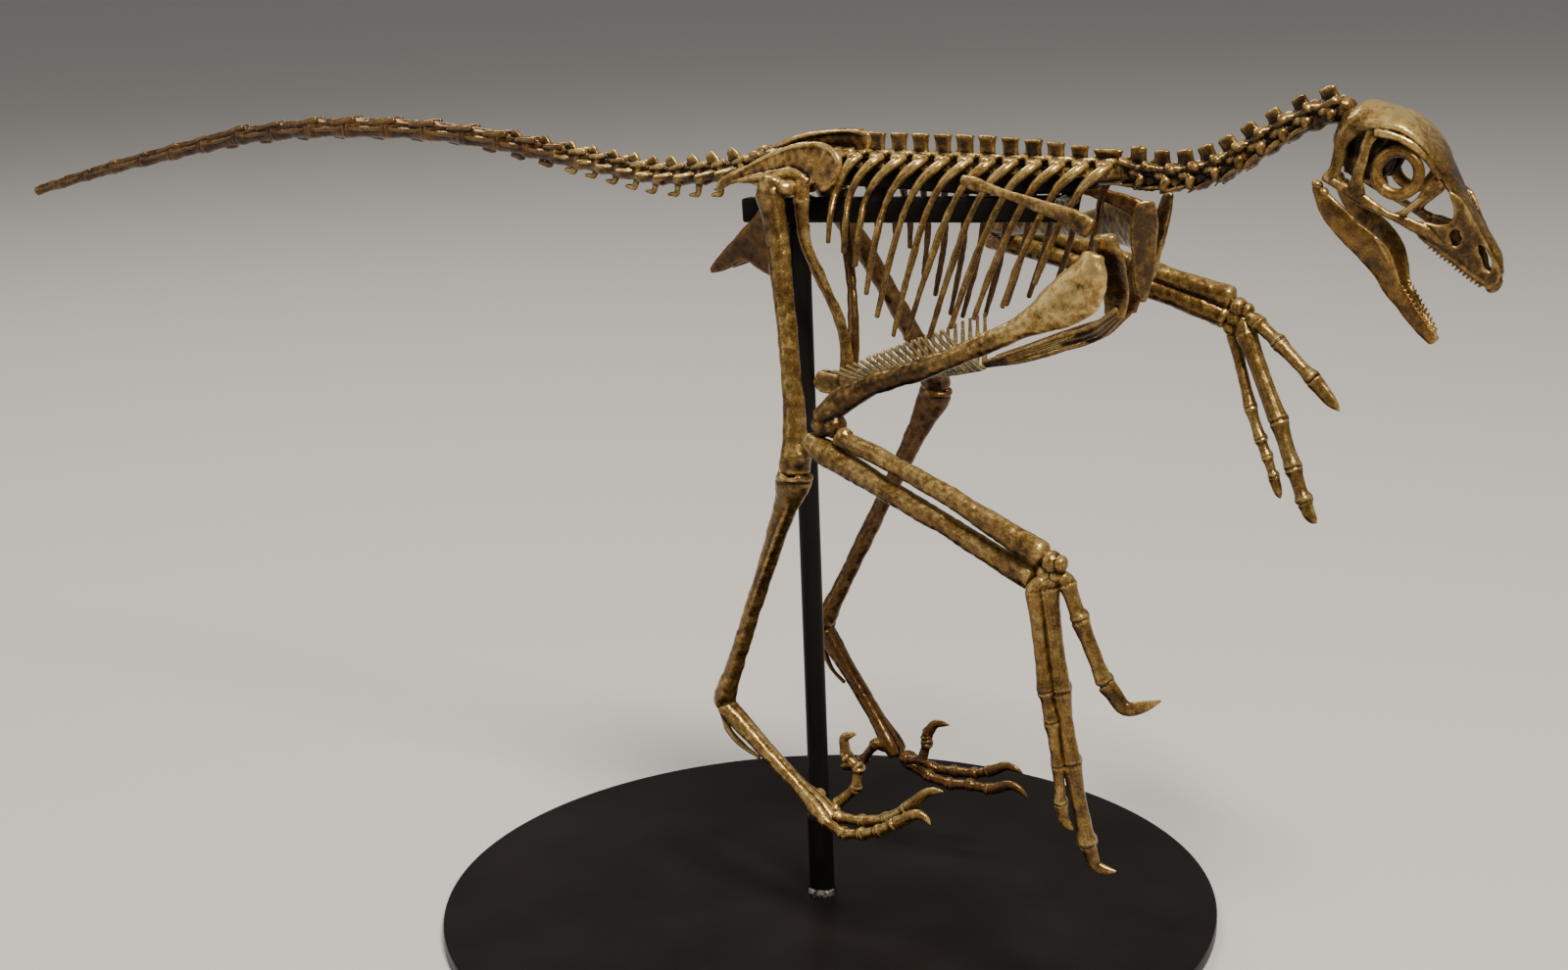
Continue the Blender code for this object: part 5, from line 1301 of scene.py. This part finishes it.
def make_limbs(materials):
    for side in (RIGHT, LEFT):
        shade = materials[SIDE_SHADE[side]]
        make_arm(side, materials)
        make_femur(side, shade)
        make_shin(side, shade)
        make_metatarsus(side, shade)
    for (side, number), joints in TOES.items():
        make_digit("toe_%s_%s" % (number, SIDE_NAME[side]), joints, (TOE_RADIUS,) * 6, CLAW_RADIUS["toe"],
                   materials[SIDE_SHADE[side]], FOOT[side])
    for (side, number), joints in FINGERS.items():
        make_digit("finger_%s_%s" % (number, SIDE_NAME[side]), joints, FINGER_RADII[number],
                   CLAW_RADIUS[number], materials["plain"], WRIST[side])


# ---- stage, light and camera ----
def make_floor():
    bm = bmesh.new()
    bmesh.ops.create_circle(bm, cap_ends=True, segments=96, radius=FLOOR_RADIUS)
    mesh = bpy.data.meshes.new("floor")
    bm.to_mesh(mesh)
    bm.free()
    material = bpy.data.materials.new("floor_pale")
    material.use_nodes = True
    shader = material.node_tree.nodes["Principled BSDF"]
    shader.inputs["Base Color"].default_value = FLOOR_COLOUR
    shader.inputs["Roughness"].default_value = 0.8
    put_in_scene("floor", mesh, material)


def area_light(name, place, size, energy, colour):
    """A round soft light aimed at the middle of the mount."""
    light = bpy.data.lights.new(name, "AREA")
    light.shape = "DISK"
    light.size = size
    light.energy = energy
    light.color = colour
    lamp = bpy.data.objects.new(name, light)
    lamp.location = place
    lamp.rotation_euler = (Vector(LIT_PLACE) - Vector(place)).to_track_quat("-Z", "Y").to_euler()
    bpy.context.scene.collection.objects.link(lamp)


def make_light():
    world = bpy.data.worlds.new("studio")
    world.use_nodes = True
    background = world.node_tree.nodes["Background"]
    background.inputs["Color"].default_value = STUDIO_COLOUR
    background.inputs["Strength"].default_value = STUDIO_STRENGTH
    bpy.context.scene.world = world
    for name, values in LIGHTS.items():
        area_light(name, *values)


def make_camera():
    """Aim the camera by its yaw, its tilt down and its roll."""
    right = Vector((math.cos(CAMERA_YAW), math.sin(CAMERA_YAW), 0.0))
    ahead = Vector((-math.sin(CAMERA_YAW), math.cos(CAMERA_YAW), 0.0))
    vertical = Vector(ALONG_Z)
    up = vertical * math.cos(CAMERA_DOWN) + ahead * math.sin(CAMERA_DOWN)
    look = ahead * math.cos(CAMERA_DOWN) - vertical * math.sin(CAMERA_DOWN)
    c, s = math.cos(CAMERA_ROLL), math.sin(CAMERA_ROLL)
    turn = Matrix((right * c + up * s, up * c - right * s, -look)).transposed()
    camera = bpy.data.cameras.new("camera")
    camera.lens = CAMERA_LENS
    camera.sensor_width = 36.0
    camera.clip_start = 0.01
    holder = bpy.data.objects.new("camera", camera)
    holder.matrix_world = Matrix.Translation(Vector(CAMERA_PLACE) * MM) @ turn.to_4x4()
    bpy.context.scene.collection.objects.link(holder)
    bpy.context.scene.camera = holder


def main():
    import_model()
    materials = make_bone_materials()
    paint, weld = paint_material(), weld_material()
    make_base(paint)
    make_rod(paint, weld)
    make_bars(paint, weld)
    make_thorax(materials)
    make_sacrum(materials)
    make_neck(materials)
    make_tail(materials)
    make_skull(materials)
    make_mandible(materials)
    make_furcula(materials)
    for side in (RIGHT, LEFT):
        make_eye_ring(side, materials)
        make_pelvis(side, materials)
        make_shoulder(side, materials)
        make_sternum(side, materials)
        make_gastralia(side, materials)
    make_limbs(materials)
    make_floor()
    make_light()
    make_camera()


main()
